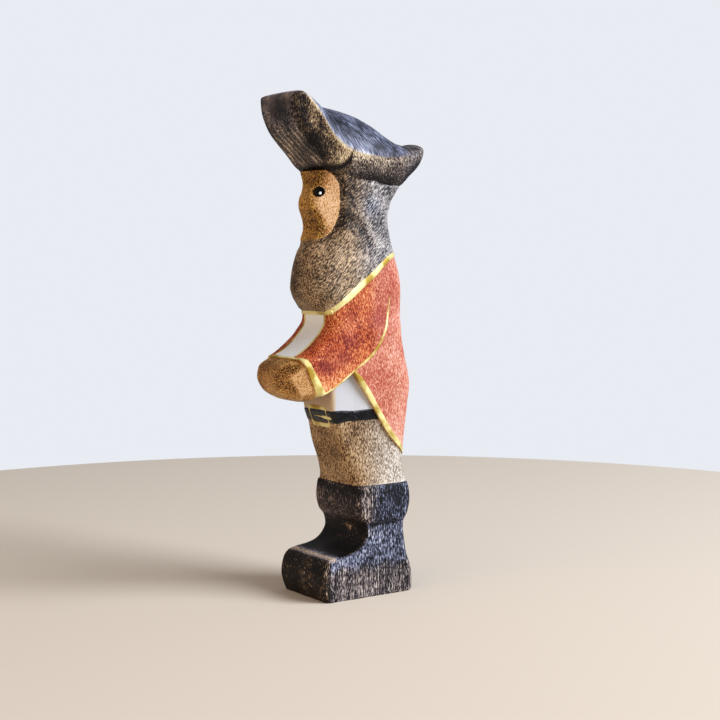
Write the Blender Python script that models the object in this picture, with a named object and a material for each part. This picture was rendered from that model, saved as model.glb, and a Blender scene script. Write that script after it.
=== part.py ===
"""Wooden toy pirate figure, sawn and carved from one board, then stained and painted.

The block is divided where the carver and the painter divided it: every stained zone is a solid of
its own, and every painted line, the belt, the buckle and the eyes are thin films on the wood.
Metres, +Z up. The figure looks towards -Y, its left hand is at +X, and the origin is the middle of
the flat sole.
"""
import math

import bmesh
import bpy
import numpy as np

for stale in list(bpy.data.objects):
    bpy.data.objects.remove(stale, do_unlink=True)

MM = 0.001

# Heights of the zones, stacked from the sole upwards
BOOT_HEIGHT = 20.4 * MM
CUFF_HEIGHT = 10.4 * MM
BREECHES_HEIGHT = 17.6 * MM
BELT_HEIGHT = 3.0 * MM
CHEST_HEIGHT = 26.4 * MM
HEAD_HEIGHT = 35.4 * MM
HAT_HEIGHT = 23.2 * MM

# How far the sawn outline reaches in front of the middle of the sole
TOE_REACH = 15.7 * MM
SCOOP_REACH = 1.2 * MM
BOOT_CUFF_REACH = 4.4 * MM
WAIST_REACH = 11.0 * MM
HAND_REACH = 25.2 * MM
THROAT_REACH = 11.7 * MM
BEARD_REACH = 17.0 * MM
MOUTH_REACH = 13.4 * MM
NOSE_REACH = 14.6 * MM
BROW_REACH = 13.9 * MM

# How far the sawn outline reaches behind the middle of the sole
HEEL_DEPTH = 14.5 * MM
ANKLE_DEPTH = 12.0 * MM
BOOT_CUFF_DEPTH = 14.2 * MM
COAT_DEPTH = 16.8 * MM
SHOULDER_DEPTH = 13.9 * MM
COLLAR_DEPTH = 14.9 * MM
NAPE_DEPTH = 11.3 * MM
HAIR_DEPTH = 14.9 * MM

# Half widths across the board
SOLE_HALF = 11.0 * MM
BOOT_CUFF_HALF = 11.3 * MM
COAT_HALF = 9.3 * MM
WAIST_HALF = 7.4 * MM
ARM_HALF = 10.0 * MM
BEARD_HALF = 8.8 * MM
HEAD_HALF = 8.2 * MM

# Corners of the sections, from knife-sharp boots to a round head
BOOT_CORNER = 1.2 * MM
BOOT_CUFF_CORNER = 2.2 * MM
KNEE_CORNER = 4.6 * MM
WAIST_CORNER = 2.2 * MM
HAND_CORNER = 5.3 * MM
SLEEVE_CORNER = 3.0 * MM
COAT_CORNER = 6.0 * MM
HEAD_CORNER = 8.0 * MM

# The hat: reach of its front plate and rear tip, half widths of its rim and of its underside with the
# shares of the underside that lie flat and that are bevelled, the hollow of its roof's sides, the drop
# of its seat over the length of the front reach, and the extra lift of the seat over the forehead
HAT_FRONT = 23.0 * MM
HAT_REAR = 22.0 * MM
RIM_HALF = 11.3 * MM
HAT_SEAT_HALF = 9.0 * MM
SEAT_FLAT = 0.85
SEAT_BEVEL = 0.25
ROOF_HOLLOW = 1.2
SEAT_DROP = 1.6 * MM
SEAT_LIFT = 6.3 * MM

# Borders between the zones, seen from the side
ELBOW_REACH = 4.8 * MM
TAIL_LEVEL = 35.6 * MM
SLEEVE_TOP_DEPTH = 7.9 * MM
NAPE_RISE = 16.4 * MM
FACE_EDGE_REACH = 7.2 * MM
CHEST_STRIP_HALF = 5.4 * MM

# Painted lines, belt, buckle and eyes. The cuff's line runs on under the arm by a share of its length,
# and the hem's line starts a share of its first stretch away from the elbow.
COLLAR_TRIM_WIDTH = 1.3 * MM
CHEST_TRIM_WIDTH = 0.8 * MM
CUFF_TRIM_WIDTH = 1.5 * MM
SLEEVE_TRIM_WIDTH = 0.8 * MM
HEM_TRIM_WIDTH = 1.5 * MM
CUFF_TRIM_OVERRUN = 0.1
HEM_TRIM_START = 0.35
BUCKLE_WIDTH = 6.0 * MM
BUCKLE_HEIGHT = 4.6 * MM
BUCKLE_BAR = 0.9 * MM
BUCKLE_OFFSET = 0.9 * MM
EYE_DIAMETER = 3.0 * MM
EYE_SPACING = 9.0 * MM
EYE_RISE = 32.6 * MM
PAINT_THICKNESS = 0.25 * MM

# Clearances: the seam between two zones, and the gap under a film of paint
SEAM = 0.3 * MM
PAINT_GAP = 0.2 * MM

# Fineness of the lofts, lines and eyes, the distance at which points are welded into one, and the
# angle from which an edge is shown sharp
LEVEL_STEP = 3.0 * MM
CORNER_STEPS = 5
ROOF_STEPS = 6
HAT_STEPS = 2
LINE_STEPS = 4
EYE_SIDES = 24
WELD = 0.001 * MM
SHARP_ANGLE = math.radians(35)

KNEE_LEVEL = BOOT_HEIGHT + CUFF_HEIGHT
BELT_LEVEL = KNEE_LEVEL + BREECHES_HEIGHT
WAIST_LEVEL = BELT_LEVEL + BELT_HEIGHT
THROAT_LEVEL = WAIST_LEVEL + CHEST_HEIGHT
SEAT_LEVEL = THROAT_LEVEL + HEAD_HEIGHT

# A length that passes every side of the figure
BEYOND = SEAT_LEVEL + HAT_HEIGHT

# A zone is its lowest level and its height. The coat's tails hang from the waist.
BOOT = (0.0, BOOT_HEIGHT)
CUFF = (BOOT_HEIGHT, CUFF_HEIGHT)
BREECHES = (KNEE_LEVEL, BREECHES_HEIGHT)
CHEST = (WAIST_LEVEL, CHEST_HEIGHT)
HEAD = (THROAT_LEVEL, HEAD_HEIGHT)
TAILS = (TAIL_LEVEL, WAIST_LEVEL - TAIL_LEVEL)

# Outlines as rows of zone, share of the zone's height, and size. First the sawn front.
FRONT_OF_LEGS = [
    (BOOT, 0.00, 0.89 * TOE_REACH),
    (BOOT, 0.035, 0.92 * TOE_REACH),
    (BOOT, 0.27, TOE_REACH),
    (BOOT, 0.44, 0.96 * TOE_REACH),
    (BOOT, 0.56, 0.86 * TOE_REACH),
    (BOOT, 0.60, 0.70 * TOE_REACH),
    (BOOT, 0.623, 0.46 * TOE_REACH),
    (BOOT, 0.668, 0.27 * TOE_REACH),
    (BOOT, 0.76, 1.7 * SCOOP_REACH),
    (BOOT, 0.855, SCOOP_REACH),
    (CUFF, 0.00, 0.43 * BOOT_CUFF_REACH),
    (CUFF, 0.15, 0.72 * BOOT_CUFF_REACH),
    (CUFF, 0.59, BOOT_CUFF_REACH),
    (BREECHES, 0.00, 0.98 * BOOT_CUFF_REACH),
    (BREECHES, 0.24, 0.49 * WAIST_REACH),
    (BREECHES, 0.58, 0.70 * WAIST_REACH),
    (CHEST, 0.045, WAIST_REACH),
]
FRONT_OF_CHEST = [(CHEST, 0.93, THROAT_REACH)]
FRONT_OF_ARMS = [
    (CHEST, 0.075, 0.60 * HAND_REACH),
    (CHEST, 0.125, 0.81 * HAND_REACH),
    (CHEST, 0.22, 0.95 * HAND_REACH),
    (CHEST, 0.35, HAND_REACH),
    (CHEST, 0.455, 0.98 * HAND_REACH),
    (CHEST, 0.545, 0.875 * HAND_REACH),
    (CHEST, 0.59, 0.775 * HAND_REACH),
    (CHEST, 0.675, 0.645 * HAND_REACH),
    (CHEST, 0.805, 1.10 * THROAT_REACH),
    (CHEST, 0.93, THROAT_REACH),
]
FRONT_OF_HEAD = [
    (HEAD, 0.00, 1.02 * THROAT_REACH),
    (HEAD, 0.035, 0.82 * BEARD_REACH),
    (HEAD, 0.105, 0.935 * BEARD_REACH),
    (HEAD, 0.20, BEARD_REACH),
    (HEAD, 0.32, 0.985 * BEARD_REACH),
    (HEAD, 0.57, 1.07 * MOUTH_REACH),
    (HEAD, 0.65, MOUTH_REACH),
    (HEAD, 0.835, NOSE_REACH),
    (HEAD, 0.92, BROW_REACH),
    (HEAD, 1.10, BROW_REACH),
]
BACK = [
    (BOOT, 0.00, 0.96 * HEEL_DEPTH),
    (BOOT, 0.035, HEEL_DEPTH),
    (BOOT, 0.27, 0.99 * HEEL_DEPTH),
    (BOOT, 0.61, 1.03 * ANKLE_DEPTH),
    (BOOT, 0.855, ANKLE_DEPTH),
    (CUFF, 0.00, 1.03 * ANKLE_DEPTH),
    (CUFF, 0.15, 0.94 * BOOT_CUFF_DEPTH),
    (CUFF, 0.59, BOOT_CUFF_DEPTH),
    (BREECHES, 0.00, 0.98 * BOOT_CUFF_DEPTH),
    (BREECHES, 0.24, 0.84 * COAT_DEPTH),
    (BREECHES, 0.87, 0.92 * COAT_DEPTH),
    (CHEST, 0.21, COAT_DEPTH),
    (CHEST, 0.55, 0.90 * COAT_DEPTH),
    (CHEST, 0.81, SHOULDER_DEPTH),
    (HEAD, 0.20, COLLAR_DEPTH),
    (HEAD, 0.44, 0.91 * COLLAR_DEPTH),
    (HEAD, 0.57, 1.08 * NAPE_DEPTH),
    (HEAD, 0.70, NAPE_DEPTH),
    (HEAD, 0.84, 1.08 * NAPE_DEPTH),
    (HEAD, 1.00, HAIR_DEPTH),
    (HEAD, 1.10, 1.08 * HAIR_DEPTH),
]
SIDE_OF_BOOTS = [
    (BOOT, 0.00, 0.98 * SOLE_HALF),
    (BOOT, 0.035, SOLE_HALF),
    (BOOT, 0.60, SOLE_HALF),
    (BOOT, 0.97, 0.975 * SOLE_HALF),
    (CUFF, 0.06, 0.985 * BOOT_CUFF_HALF),
    (CUFF, 0.60, BOOT_CUFF_HALF),
    (BREECHES, 0.00, 0.97 * BOOT_CUFF_HALF),
]
SIDE_OF_COAT = [
    (BREECHES, 0.24, 1.01 * COAT_HALF),
    (BREECHES, 0.75, COAT_HALF),
    (CHEST, 0.02, COAT_HALF),
    (CHEST, 0.21, 0.99 * ARM_HALF),
    (CHEST, 0.50, ARM_HALF),
    (CHEST, 0.80, ARM_HALF),
]
SIDE_OF_WAIST = [
    (BREECHES, 0.24, 1.30 * WAIST_HALF),
    (BREECHES, 0.58, 1.12 * WAIST_HALF),
    (CHEST, 0.00, WAIST_HALF),
    (CHEST, 0.80, WAIST_HALF),
]
SIDE_OF_HEAD = [
    (HEAD, 0.00, 1.04 * BEARD_HALF),
    (HEAD, 0.20, BEARD_HALF),
    (HEAD, 0.57, HEAD_HALF),
    (HEAD, 0.84, HEAD_HALF),
    (HEAD, 1.10, 1.07 * HEAD_HALF),
]
FRONT_CORNERS = [
    (BOOT, 0.00, 0.8 * BOOT_CORNER),
    (BOOT, 0.90, BOOT_CORNER),
    (CUFF, 0.60, BOOT_CUFF_CORNER),
    (BREECHES, 0.24, KNEE_CORNER),
    (BREECHES, 0.95, WAIST_CORNER),
    (CHEST, 0.04, WAIST_CORNER),
    (CHEST, 0.075, 0.95 * ARM_HALF),
    (CHEST, 0.125, 0.80 * ARM_HALF),
    (CHEST, 0.22, 1.13 * HAND_CORNER),
    (CHEST, 0.35, HAND_CORNER),
    (CHEST, 0.67, SLEEVE_CORNER),
    (CHEST, 0.90, 1.1 * SLEEVE_CORNER),
    (HEAD, 0.10, 0.92 * HEAD_CORNER),
    (HEAD, 0.60, HEAD_CORNER),
]
BACK_CORNERS = [
    (BOOT, 0.00, BOOT_CORNER),
    (BOOT, 0.90, 1.5 * BOOT_CORNER),
    (CUFF, 0.60, 1.2 * BOOT_CUFF_CORNER),
    (BREECHES, 0.24, 1.1 * KNEE_CORNER),
    (BREECHES, 0.87, COAT_CORNER),
    (CHEST, 0.90, COAT_CORNER),
    (HEAD, 0.45, HEAD_CORNER),
]

# Sections of the hat: place along it, as a share of its front reach or its rear reach, then the
# heights of its underside, rim and crown above the seat as shares of the hat's height, then the half
# widths of its underside and rim. An underside below the seat lies flat on it.
ON_SEAT = -0.10
HAT_SECTIONS = [
    (-1.00, 0.80, 0.925, 0.935, 0.82 * HAT_SEAT_HALF, 0.69 * RIM_HALF),
    (-0.975, 0.715, 0.968, 0.978, 0.93 * HAT_SEAT_HALF, 0.80 * RIM_HALF),
    (-0.90, 0.56, 0.982, 1.00, HAT_SEAT_HALF, 0.86 * RIM_HALF),
    (-0.785, 0.43, 0.885, 0.995, 1.03 * HAT_SEAT_HALF, 0.93 * RIM_HALF),
    (-0.64, 0.285, 0.695, 0.95, 1.03 * HAT_SEAT_HALF, 0.975 * RIM_HALF),
    (-0.525, 0.155, 0.53, 0.885, HAT_SEAT_HALF, 0.99 * RIM_HALF),
    (-0.475, 0.115, 0.48, 0.865, 0.985 * HAT_SEAT_HALF, RIM_HALF),
    (-0.28, ON_SEAT, 0.36, 0.83, 0.98 * HAT_SEAT_HALF, RIM_HALF),
    (-0.02, ON_SEAT, 0.30, 0.785, 0.98 * HAT_SEAT_HALF, 0.99 * RIM_HALF),
    (0.23, ON_SEAT, 0.289, 0.69, 0.97 * HAT_SEAT_HALF, 0.955 * RIM_HALF),
    (0.41, ON_SEAT, 0.298, 0.595, 0.945 * HAT_SEAT_HALF, 0.91 * RIM_HALF),
    (0.63, ON_SEAT, 0.32, 0.515, 0.90 * HAT_SEAT_HALF, 0.83 * RIM_HALF),
    (0.81, 0.10, 0.36, 0.475, 0.80 * HAT_SEAT_HALF, 0.725 * RIM_HALF),
    (0.935, 0.21, 0.40, 0.482, 0.645 * HAT_SEAT_HALF, 0.585 * RIM_HALF),
    (1.00, 0.305, 0.41, 0.455, 0.445 * HAT_SEAT_HALF, 0.41 * RIM_HALF),
]

# Stain and paint: colour, roughness and metallic value
BLACK_STAIN = ((0.040, 0.032, 0.027), 0.55, 0.0)
BROWN_STAIN = ((0.195, 0.145, 0.105), 0.60, 0.0)
BREECHES_STAIN = ((0.330, 0.240, 0.145), 0.60, 0.0)
FACE_STAIN = ((0.500, 0.260, 0.095), 0.55, 0.0)
HAND_STAIN = ((0.380, 0.200, 0.070), 0.55, 0.0)
RED_STAIN = ((0.480, 0.095, 0.060), 0.55, 0.0)
WHITE_PAINT = ((0.680, 0.670, 0.650), 0.50, 0.0)
GOLD_PAINT = ((0.650, 0.480, 0.080), 0.40, 0.1)
BLACK_PAINT = ((0.010, 0.010, 0.014), 0.20, 0.0)


def collection(name):
    """A new collection in the scene."""
    group = bpy.data.collections.new(name)
    bpy.context.scene.collection.children.link(group)
    return group


PARTS = collection("wooden_toy_pirate")
CUTTERS = collection("cutters")


def finish(name, stain):
    """A Principled material of one stain or paint."""
    colour, roughness, metallic = stain
    material = bpy.data.materials.new(name)
    material.use_nodes = True
    shader = material.node_tree.nodes["Principled BSDF"]
    shader.inputs["Base Color"].default_value = (*colour, 1.0)
    shader.inputs["Roughness"].default_value = roughness
    shader.inputs["Metallic"].default_value = metallic
    return material


def mesh_object(name, mesh, group):
    """An object that shows a mesh, in one of the collections."""
    piece = bpy.data.objects.new(name, mesh)
    group.objects.link(piece)
    if group is CUTTERS:
        piece.hide_render = True
        piece.display_type = "WIRE"
    return piece


def height(zone, share):
    """Level at a share of a zone's height."""
    return zone[0] + share * zone[1]


def smooth_steps(x, y, at):
    """Values at some places on a smooth curve through rows that never overshoots them.

    A cubic on each stretch, whose slope at a row is the harmonic mean of its two neighbours' slopes,
    or zero where the curve turns.
    """
    run = np.diff(x)
    rise = np.diff(y) / run
    slope = np.zeros(len(x))
    slope[0], slope[-1] = rise[0], rise[-1]
    turning = rise[:-1] * rise[1:] <= 0.0
    left = 2 * run[1:] + run[:-1]
    right = run[1:] + 2 * run[:-1]
    safe = np.where(rise == 0.0, 1.0, rise)
    slope[1:-1] = np.where(turning, 0.0, (left + right) / (left / safe[:-1] + right / safe[1:]))
    k = np.clip(np.searchsorted(x, at, side="right") - 1, 0, len(run) - 1)
    t = np.clip((at - x[k]) / run[k], 0.0, 1.0)
    ahead = t * t * (3 - 2 * t)
    bend = t * (1 - t) * run[k]
    return y[k] * (1 - ahead) + y[k + 1] * ahead + bend * ((1 - t) * slope[k] - t * slope[k + 1])


def outline_at(rows, levels):
    """Sizes of an outline, given as zone, share and size, at some levels."""
    known = np.array([height(zone, share) for zone, share, size in rows])
    sizes = np.array([size for zone, share, size in rows])
    return smooth_steps(known, sizes, levels)


def section(front, back, half, front_corner, back_corner):
    """Corners of a rounded rectangle, counter-clockwise from the middle of its right side."""
    front_corner = min(front_corner, half)
    back_corner = min(back_corner, half)
    turn = np.linspace(0.0, math.pi / 2, CORNER_STEPS + 1)
    back_x = half - back_corner + back_corner * np.cos(turn)
    back_y = back - back_corner + back_corner * np.sin(turn)
    front_x = half - front_corner + front_corner * np.sin(turn)
    front_y = -front + front_corner - front_corner * np.cos(turn)
    x = np.concatenate([back_x, -back_x[::-1], -front_x[::-1], front_x])
    y = np.concatenate([back_y, back_y[::-1], front_y[::-1], front_y])
    return x, y


def loft(name, rings, group):
    """A closed body through rings of points, each counter-clockwise seen from the next ring."""
    count = len(rings[0])
    bm = bmesh.new()
    rows = [[bm.verts.new(point) for point in ring] for ring in rings]
    for low, high in zip(rows, rows[1:]):
        for i in range(count):
            j = (i + 1) % count
            bm.faces.new((low[i], low[j], high[j], high[i]))
    bm.faces.new(rows[0][::-1])
    bm.faces.new(rows[-1])
    bmesh.ops.remove_doubles(bm, verts=bm.verts, dist=WELD)
    mesh = bpy.data.meshes.new(name)
    bm.to_mesh(mesh)
    bm.free()
    mesh.shade_smooth()
    mesh.set_sharp_from_angle(angle=SHARP_ANGLE)
    return mesh_object(name, mesh, group)


def carved_block(name, front_rows, side_rows):
    """The block as sawn and rounded: a loft of level sections through the outlines."""
    marks = sorted({height(zone, share) for zone, share, size in front_rows + side_rows + BACK})
    levels = [marks[0]]
    for low, high in zip(marks, marks[1:]):
        steps = math.ceil((high - low) / LEVEL_STEP)
        levels += [low + (high - low) * i / steps for i in range(1, steps + 1)]
    levels = np.array(levels)
    outlines = [front_rows, BACK, side_rows, FRONT_CORNERS, BACK_CORNERS]
    sizes = np.array([outline_at(rows, levels) for rows in outlines])
    rings = []
    for level, size in zip(levels, sizes.T):
        x, y = section(*size)
        rings.append([(px, py, level) for px, py in zip(x, y)])
    return loft(name, rings, CUTTERS)


def swollen(name, block, distance):
    """A copy of a block, pushed out along its normals."""
    copy = mesh_object(name, block.data, CUTTERS)
    push = copy.modifiers.new("swell", "DISPLACE")
    push.direction = "NORMAL"
    push.mid_level = 0.0
    push.strength = distance
    return copy


def offset_line(line, distance, closed=False):
    """A line of side-view points moved to its left by a distance, with mitred corners."""
    points = np.array(line)
    if closed:
        before, after = np.roll(points, 1, axis=0), np.roll(points, -1, axis=0)
    else:
        before = np.vstack([2 * points[0] - points[1], points[:-1]])
        after = np.vstack([points[1:], 2 * points[-1] - points[-2]])
    into = (points - before) / np.linalg.norm(points - before, axis=1)[:, None]
    out = (after - points) / np.linalg.norm(after - points, axis=1)[:, None]
    normal_in = np.stack([-into[:, 1], into[:, 0]], axis=1)
    normal_out = np.stack([-out[:, 1], out[:, 0]], axis=1)
    shared = 1.0 + np.sum(normal_in * normal_out, axis=1)[:, None]
    return [tuple(point) for point in points + distance * (normal_in + normal_out) / shared]


def along(start, end, share):
    """The side-view point at a share of the way from one point to another."""
    return start[0] + share * (end[0] - start[0]), start[1] + share * (end[1] - start[1])


def flowing(points):
    """A smooth line through a few side-view points, each stretch cut into steps."""
    known = np.array(points)
    run = np.concatenate([[0.0], np.cumsum(np.linalg.norm(np.diff(known, axis=0), axis=1))])
    stations = np.arange((len(known) - 1) * LINE_STEPS + 1) / LINE_STEPS
    at = np.interp(stations, np.arange(len(known)), run)
    line = zip(smooth_steps(run, known[:, 0], at), smooth_steps(run, known[:, 1], at))
    return [(float(y), float(z)) for y, z in line]


def parted(line, axis, place):
    """A line cut at a place on one axis: its points below, the cut itself, and its points above."""
    rising = sorted(line, key=lambda point: point[axis])
    other = np.interp(place, [p[axis] for p in rising], [p[1 - axis] for p in rising])
    cut_point = (place, float(other)) if axis == 0 else (float(other), place)
    below = [point for point in line if point[axis] < place - SEAM]
    above = [point for point in line if point[axis] > place + SEAM]
    return below, cut_point, above


def strip(line, left, right):
    """The outline of a band along a line, from an offset on its left to one on its right."""
    return offset_line(line, left) + offset_line(line, -right)[::-1]


def plate(name, outline, inner, outer, group):
    """A side-view outline drawn as a flat curve and given thickness across the board."""
    curve = bpy.data.curves.new(name, "CURVE")
    curve.dimensions = "2D"
    curve.fill_mode = "BOTH"
    curve.extrude = abs(outer - inner) / 2
    spline = curve.splines.new("POLY")
    spline.points.add(len(outline) - 1)
    for point, (y, z) in zip(spline.points, outline):
        point.co = (y, z, 0.0, 1.0)
    spline.use_cyclic_u = True
    drawn = bpy.data.objects.new(name + "_outline", curve)
    CUTTERS.objects.link(drawn)
    drawn.rotation_euler = (math.pi / 2, 0.0, math.pi / 2)
    drawn.location = ((inner + outer) / 2, 0.0, 0.0)
    bpy.context.view_layer.update()
    evaluated = drawn.evaluated_get(bpy.context.evaluated_depsgraph_get())
    mesh = bpy.data.meshes.new_from_object(evaluated)
    bm = bmesh.new()
    bm.from_mesh(mesh)
    bmesh.ops.remove_doubles(bm, verts=bm.verts, dist=WELD)
    bmesh.ops.recalc_face_normals(bm, faces=bm.faces)
    bm.to_mesh(mesh)
    bm.free()
    piece = mesh_object(name, mesh, group)
    piece.matrix_world = drawn.matrix_world
    bpy.data.objects.remove(drawn)
    bpy.data.curves.remove(curve)
    return piece


def cut(piece, cutter, operation):
    """Cut a piece with another object."""
    boolean = piece.modifiers.new(operation.lower(), "BOOLEAN")
    boolean.operation = operation
    boolean.solver = "EXACT"
    boolean.object = cutter


def zone_piece(name, stain, block, outline, inner=-BEYOND, outer=BEYOND):
    """The part of a block inside a side-view outline, drawn in by half a seam all round."""
    area = sum(a[0] * b[1] - b[0] * a[1] for a, b in zip(outline, outline[1:] + outline[:1]))
    inward = math.copysign(SEAM / 2, area)
    piece = plate(name, offset_line(outline, inward, closed=True), inner, outer, PARTS)
    cut(piece, block, "INTERSECT")
    piece.data.materials.append(finish(name + "_stain", stain))
    return piece


def film(name, paint, outline, skin, wood, inner=-BEYOND, outer=BEYOND):
    """Paint inside a side-view outline: what lies between the skin and the wood under it."""
    piece = plate(name, outline, inner, outer, PARTS)
    cut(piece, skin, "INTERSECT")
    cut(piece, wood, "DIFFERENCE")
    piece.data.materials.append(finish(name + "_paint", paint))
    return piece


def seat_level(y):
    """Level of the hat's seat, which drops towards the back and sweeps up over the forehead."""
    return SEAT_LEVEL - SEAT_DROP * y / HAT_FRONT + SEAT_LIFT * (min(y, 0.0) / HAT_FRONT) ** 2


# The whole block with its arms, and the same block with its narrower waist and no arms
block = carved_block(
    "block",
    FRONT_OF_LEGS + FRONT_OF_ARMS + FRONT_OF_HEAD,
    SIDE_OF_BOOTS + SIDE_OF_COAT + SIDE_OF_HEAD,
)
core = carved_block(
    "core",
    FRONT_OF_LEGS + FRONT_OF_CHEST + FRONT_OF_HEAD,
    SIDE_OF_BOOTS + SIDE_OF_WAIST + SIDE_OF_HEAD,
)
paint_floor = swollen("paint_floor", block, PAINT_GAP)
paint_face = swollen("paint_face", block, PAINT_GAP + PAINT_THICKNESS)
belt_floor = swollen("belt_floor", core, PAINT_GAP)
belt_face = swollen("belt_face", core, PAINT_GAP + PAINT_THICKNESS)
buckle_floor = swollen("buckle_floor", core, 2 * PAINT_GAP + PAINT_THICKNESS)
buckle_face = swollen("buckle_face", core, 2 * PAINT_GAP + 2 * PAINT_THICKNESS)

# Borders in the side view, from front to back or from the elbow outwards
elbow = (-ELBOW_REACH, height(CHEST, 0.405))
cuff_foot = (-0.64 * HAND_REACH, height(CHEST, 0.155))
cuff_head = (-0.89 * HAND_REACH, height(CHEST, 0.70))
arm_pit = (-WAIST_REACH, height(CHEST, 0.25))
under_arm = flowing([elbow, arm_pit, cuff_foot])
hem = flowing([
    elbow,
    (0.15 * COAT_DEPTH, height(TAILS, 1.0)),
    (0.40 * COAT_DEPTH, height(TAILS, 0.588)),
    (0.72 * COAT_DEPTH, height(TAILS, 0.24)),
    (1.05 * COAT_DEPTH, height(TAILS, 0.0)),
])
collar = flowing([
    (-THROAT_REACH - SEAM, THROAT_LEVEL),
    (-0.46 * THROAT_REACH, THROAT_LEVEL + 0.275 * NAPE_RISE),
    (0.10 * COLLAR_DEPTH, THROAT_LEVEL + 0.58 * NAPE_RISE),
    (0.69 * COLLAR_DEPTH, THROAT_LEVEL + 0.95 * NAPE_RISE),
    (1.20 * COLLAR_DEPTH, THROAT_LEVEL + NAPE_RISE),
])
sleeve_head = (SLEEVE_TOP_DEPTH, height(HEAD, 0.12))
sleeve_back = flowing([
    elbow,
    (0.32 * SLEEVE_TOP_DEPTH, height(CHEST, 0.615)),
    (0.79 * SLEEVE_TOP_DEPTH, height(CHEST, 0.87)),
    sleeve_head,
])
face_edge = flowing([
    (-1.25 * NOSE_REACH, height(HEAD, 0.535)),
    (-1.70 * FACE_EDGE_REACH, height(HEAD, 0.575)),
    (-1.32 * FACE_EDGE_REACH, height(HEAD, 0.685)),
    (-FACE_EDGE_REACH, height(HEAD, 0.87)),
    (-1.20 * FACE_EDGE_REACH, height(HEAD, 1.10)),
])
collar_front = (-BEYOND, THROAT_LEVEL)
collar_back = (BEYOND, THROAT_LEVEL + NAPE_RISE)
waist_seam = (WAIST_LEVEL + BELT_LEVEL) / 2
breast, sleeve_split, shoulder = parted(collar, 0, SLEEVE_TOP_DEPTH)
lower_hem, waist_split, upper_hem = parted(hem, 1, waist_seam)

# Boots and their turned-over cuffs
zone_piece("boots", BLACK_STAIN, core, [
    (-BEYOND, -BEYOND), (BEYOND, -BEYOND), (BEYOND, BOOT_HEIGHT), (-BEYOND, BOOT_HEIGHT),
])
zone_piece("boot_cuffs", BLACK_STAIN, core, [
    (-BEYOND, BOOT_HEIGHT), (BEYOND, BOOT_HEIGHT), (BEYOND, KNEE_LEVEL), (-BEYOND, KNEE_LEVEL),
])

# Breeches, and the shirt at the waist
zone_piece("breeches", BREECHES_STAIN, core, [
    (-BEYOND, KNEE_LEVEL), (BEYOND, KNEE_LEVEL), (BEYOND, TAIL_LEVEL),
    *lower_hem[::-1], waist_split, (-BEYOND, waist_seam),
])
zone_piece("shirt_waist", WHITE_PAINT, core, [
    (-BEYOND, waist_seam), waist_split, *upper_hem[::-1], *under_arm[1:], (-BEYOND, cuff_foot[1]),
])

# Coat with its tails, sleeves, the shirt between them, and the hands
zone_piece("coat", RED_STAIN, block, [
    *hem, (BEYOND, TAIL_LEVEL), collar_back, *shoulder[::-1], sleeve_split, *sleeve_back[:0:-1],
])
upper_arm = [*sleeve_back[1:], sleeve_split, *breast[::-1], collar_front, cuff_head]
sleeve_border = [cuff_foot, *under_arm[-2::-1], *upper_arm]
belly = -WAIST_REACH - SEAM
strip_border = [
    cuff_foot, (cuff_foot[0], WAIST_LEVEL), (belly, WAIST_LEVEL), (belly, arm_pit[1]),
    *[point for point in under_arm[::-1] if point[0] > arm_pit[0]], *upper_arm,
]
strip_edge = CHEST_STRIP_HALF - SEAM / 2
zone_piece("shirt_front", WHITE_PAINT, block, strip_border, -strip_edge, strip_edge)
for side, name in ((1, "left_sleeve"), (-1, "right_sleeve")):
    inner = side * (CHEST_STRIP_HALF + SEAM / 2)
    zone_piece(name, RED_STAIN, block, sleeve_border, inner, side * BEYOND)
zone_piece("hands", HAND_STAIN, block, [
    (-BEYOND, BELT_LEVEL), (cuff_foot[0], BELT_LEVEL), cuff_foot, cuff_head, collar_front,
])

# Hair with the beard, and the face in front of it
hat_line = [(y, seat_level(y)) for y in np.linspace(-HAT_FRONT, HAT_REAR, len(HAT_SECTIONS))]
face_line = [point for point in face_edge if point[1] < seat_level(point[0]) - SEAM]
temple = (face_edge[-1][0], seat_level(face_edge[-1][0]))
brow_line = [point for point in hat_line if point[0] < temple[0] - SEAM]
hair_line = [point for point in hat_line if point[0] > temple[0] + SEAM]
zone_piece("hair_and_beard", BROWN_STAIN, block, [
    collar_front, *collar, collar_back, (BEYOND, hair_line[-1][1]), *hair_line[::-1], temple,
    *face_line[::-1], (-BEYOND, face_line[0][1]),
])
zone_piece("face", FACE_STAIN, block, [
    (-BEYOND, face_line[0][1]), *face_line, temple, *brow_line[::-1], (-BEYOND, brow_line[0][1]),
])


def hat_ring(place, underside, rim, crown, seat_half, rim_half):
    """One cross-section of the hat: flat seat, flaring side, rim and a roof that rises to the crown."""
    y = place * (HAT_REAR if place > 0.0 else HAT_FRONT)
    low = max(seat_level(y) + SEAM / 2, SEAT_LEVEL + underside * HAT_HEIGHT)
    rim_level = SEAT_LEVEL + rim * HAT_HEIGHT
    rise = (crown - rim) * HAT_HEIGHT
    bevel = SEAT_BEVEL * (rim_level - low)
    climb = np.linspace(0.0, math.pi / 2, ROOF_STEPS + 1)
    roof = [(rim_half * math.cos(t), rim_level + rise * math.sin(t) ** ROOF_HOLLOW) for t in climb]
    half = [(SEAT_FLAT * seat_half, low), (seat_half, low + bevel), *roof]
    other = [(-x, z) for x, z in half[-2::-1]]
    return [(x, y, z) for x, z in half + other][::-1]


def hat():
    """The hat as a loft of cross-sections from its front plate to its rear tip."""
    rows = np.array(HAT_SECTIONS)
    steps = np.linalg.norm(np.diff(rows[:, :4], axis=0), axis=1)
    run = np.concatenate([[0.0], np.cumsum(steps)])
    stations = np.arange((len(rows) - 1) * HAT_STEPS + 1) / HAT_STEPS
    at = np.interp(stations, np.arange(len(rows)), run)
    finer = np.array([smooth_steps(run, column, at) for column in rows.T]).T
    carved = loft("hat", [hat_ring(*row) for row in finer], PARTS)
    carved.data.materials.append(finish("hat_stain", BLACK_STAIN))


hat()

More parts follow.
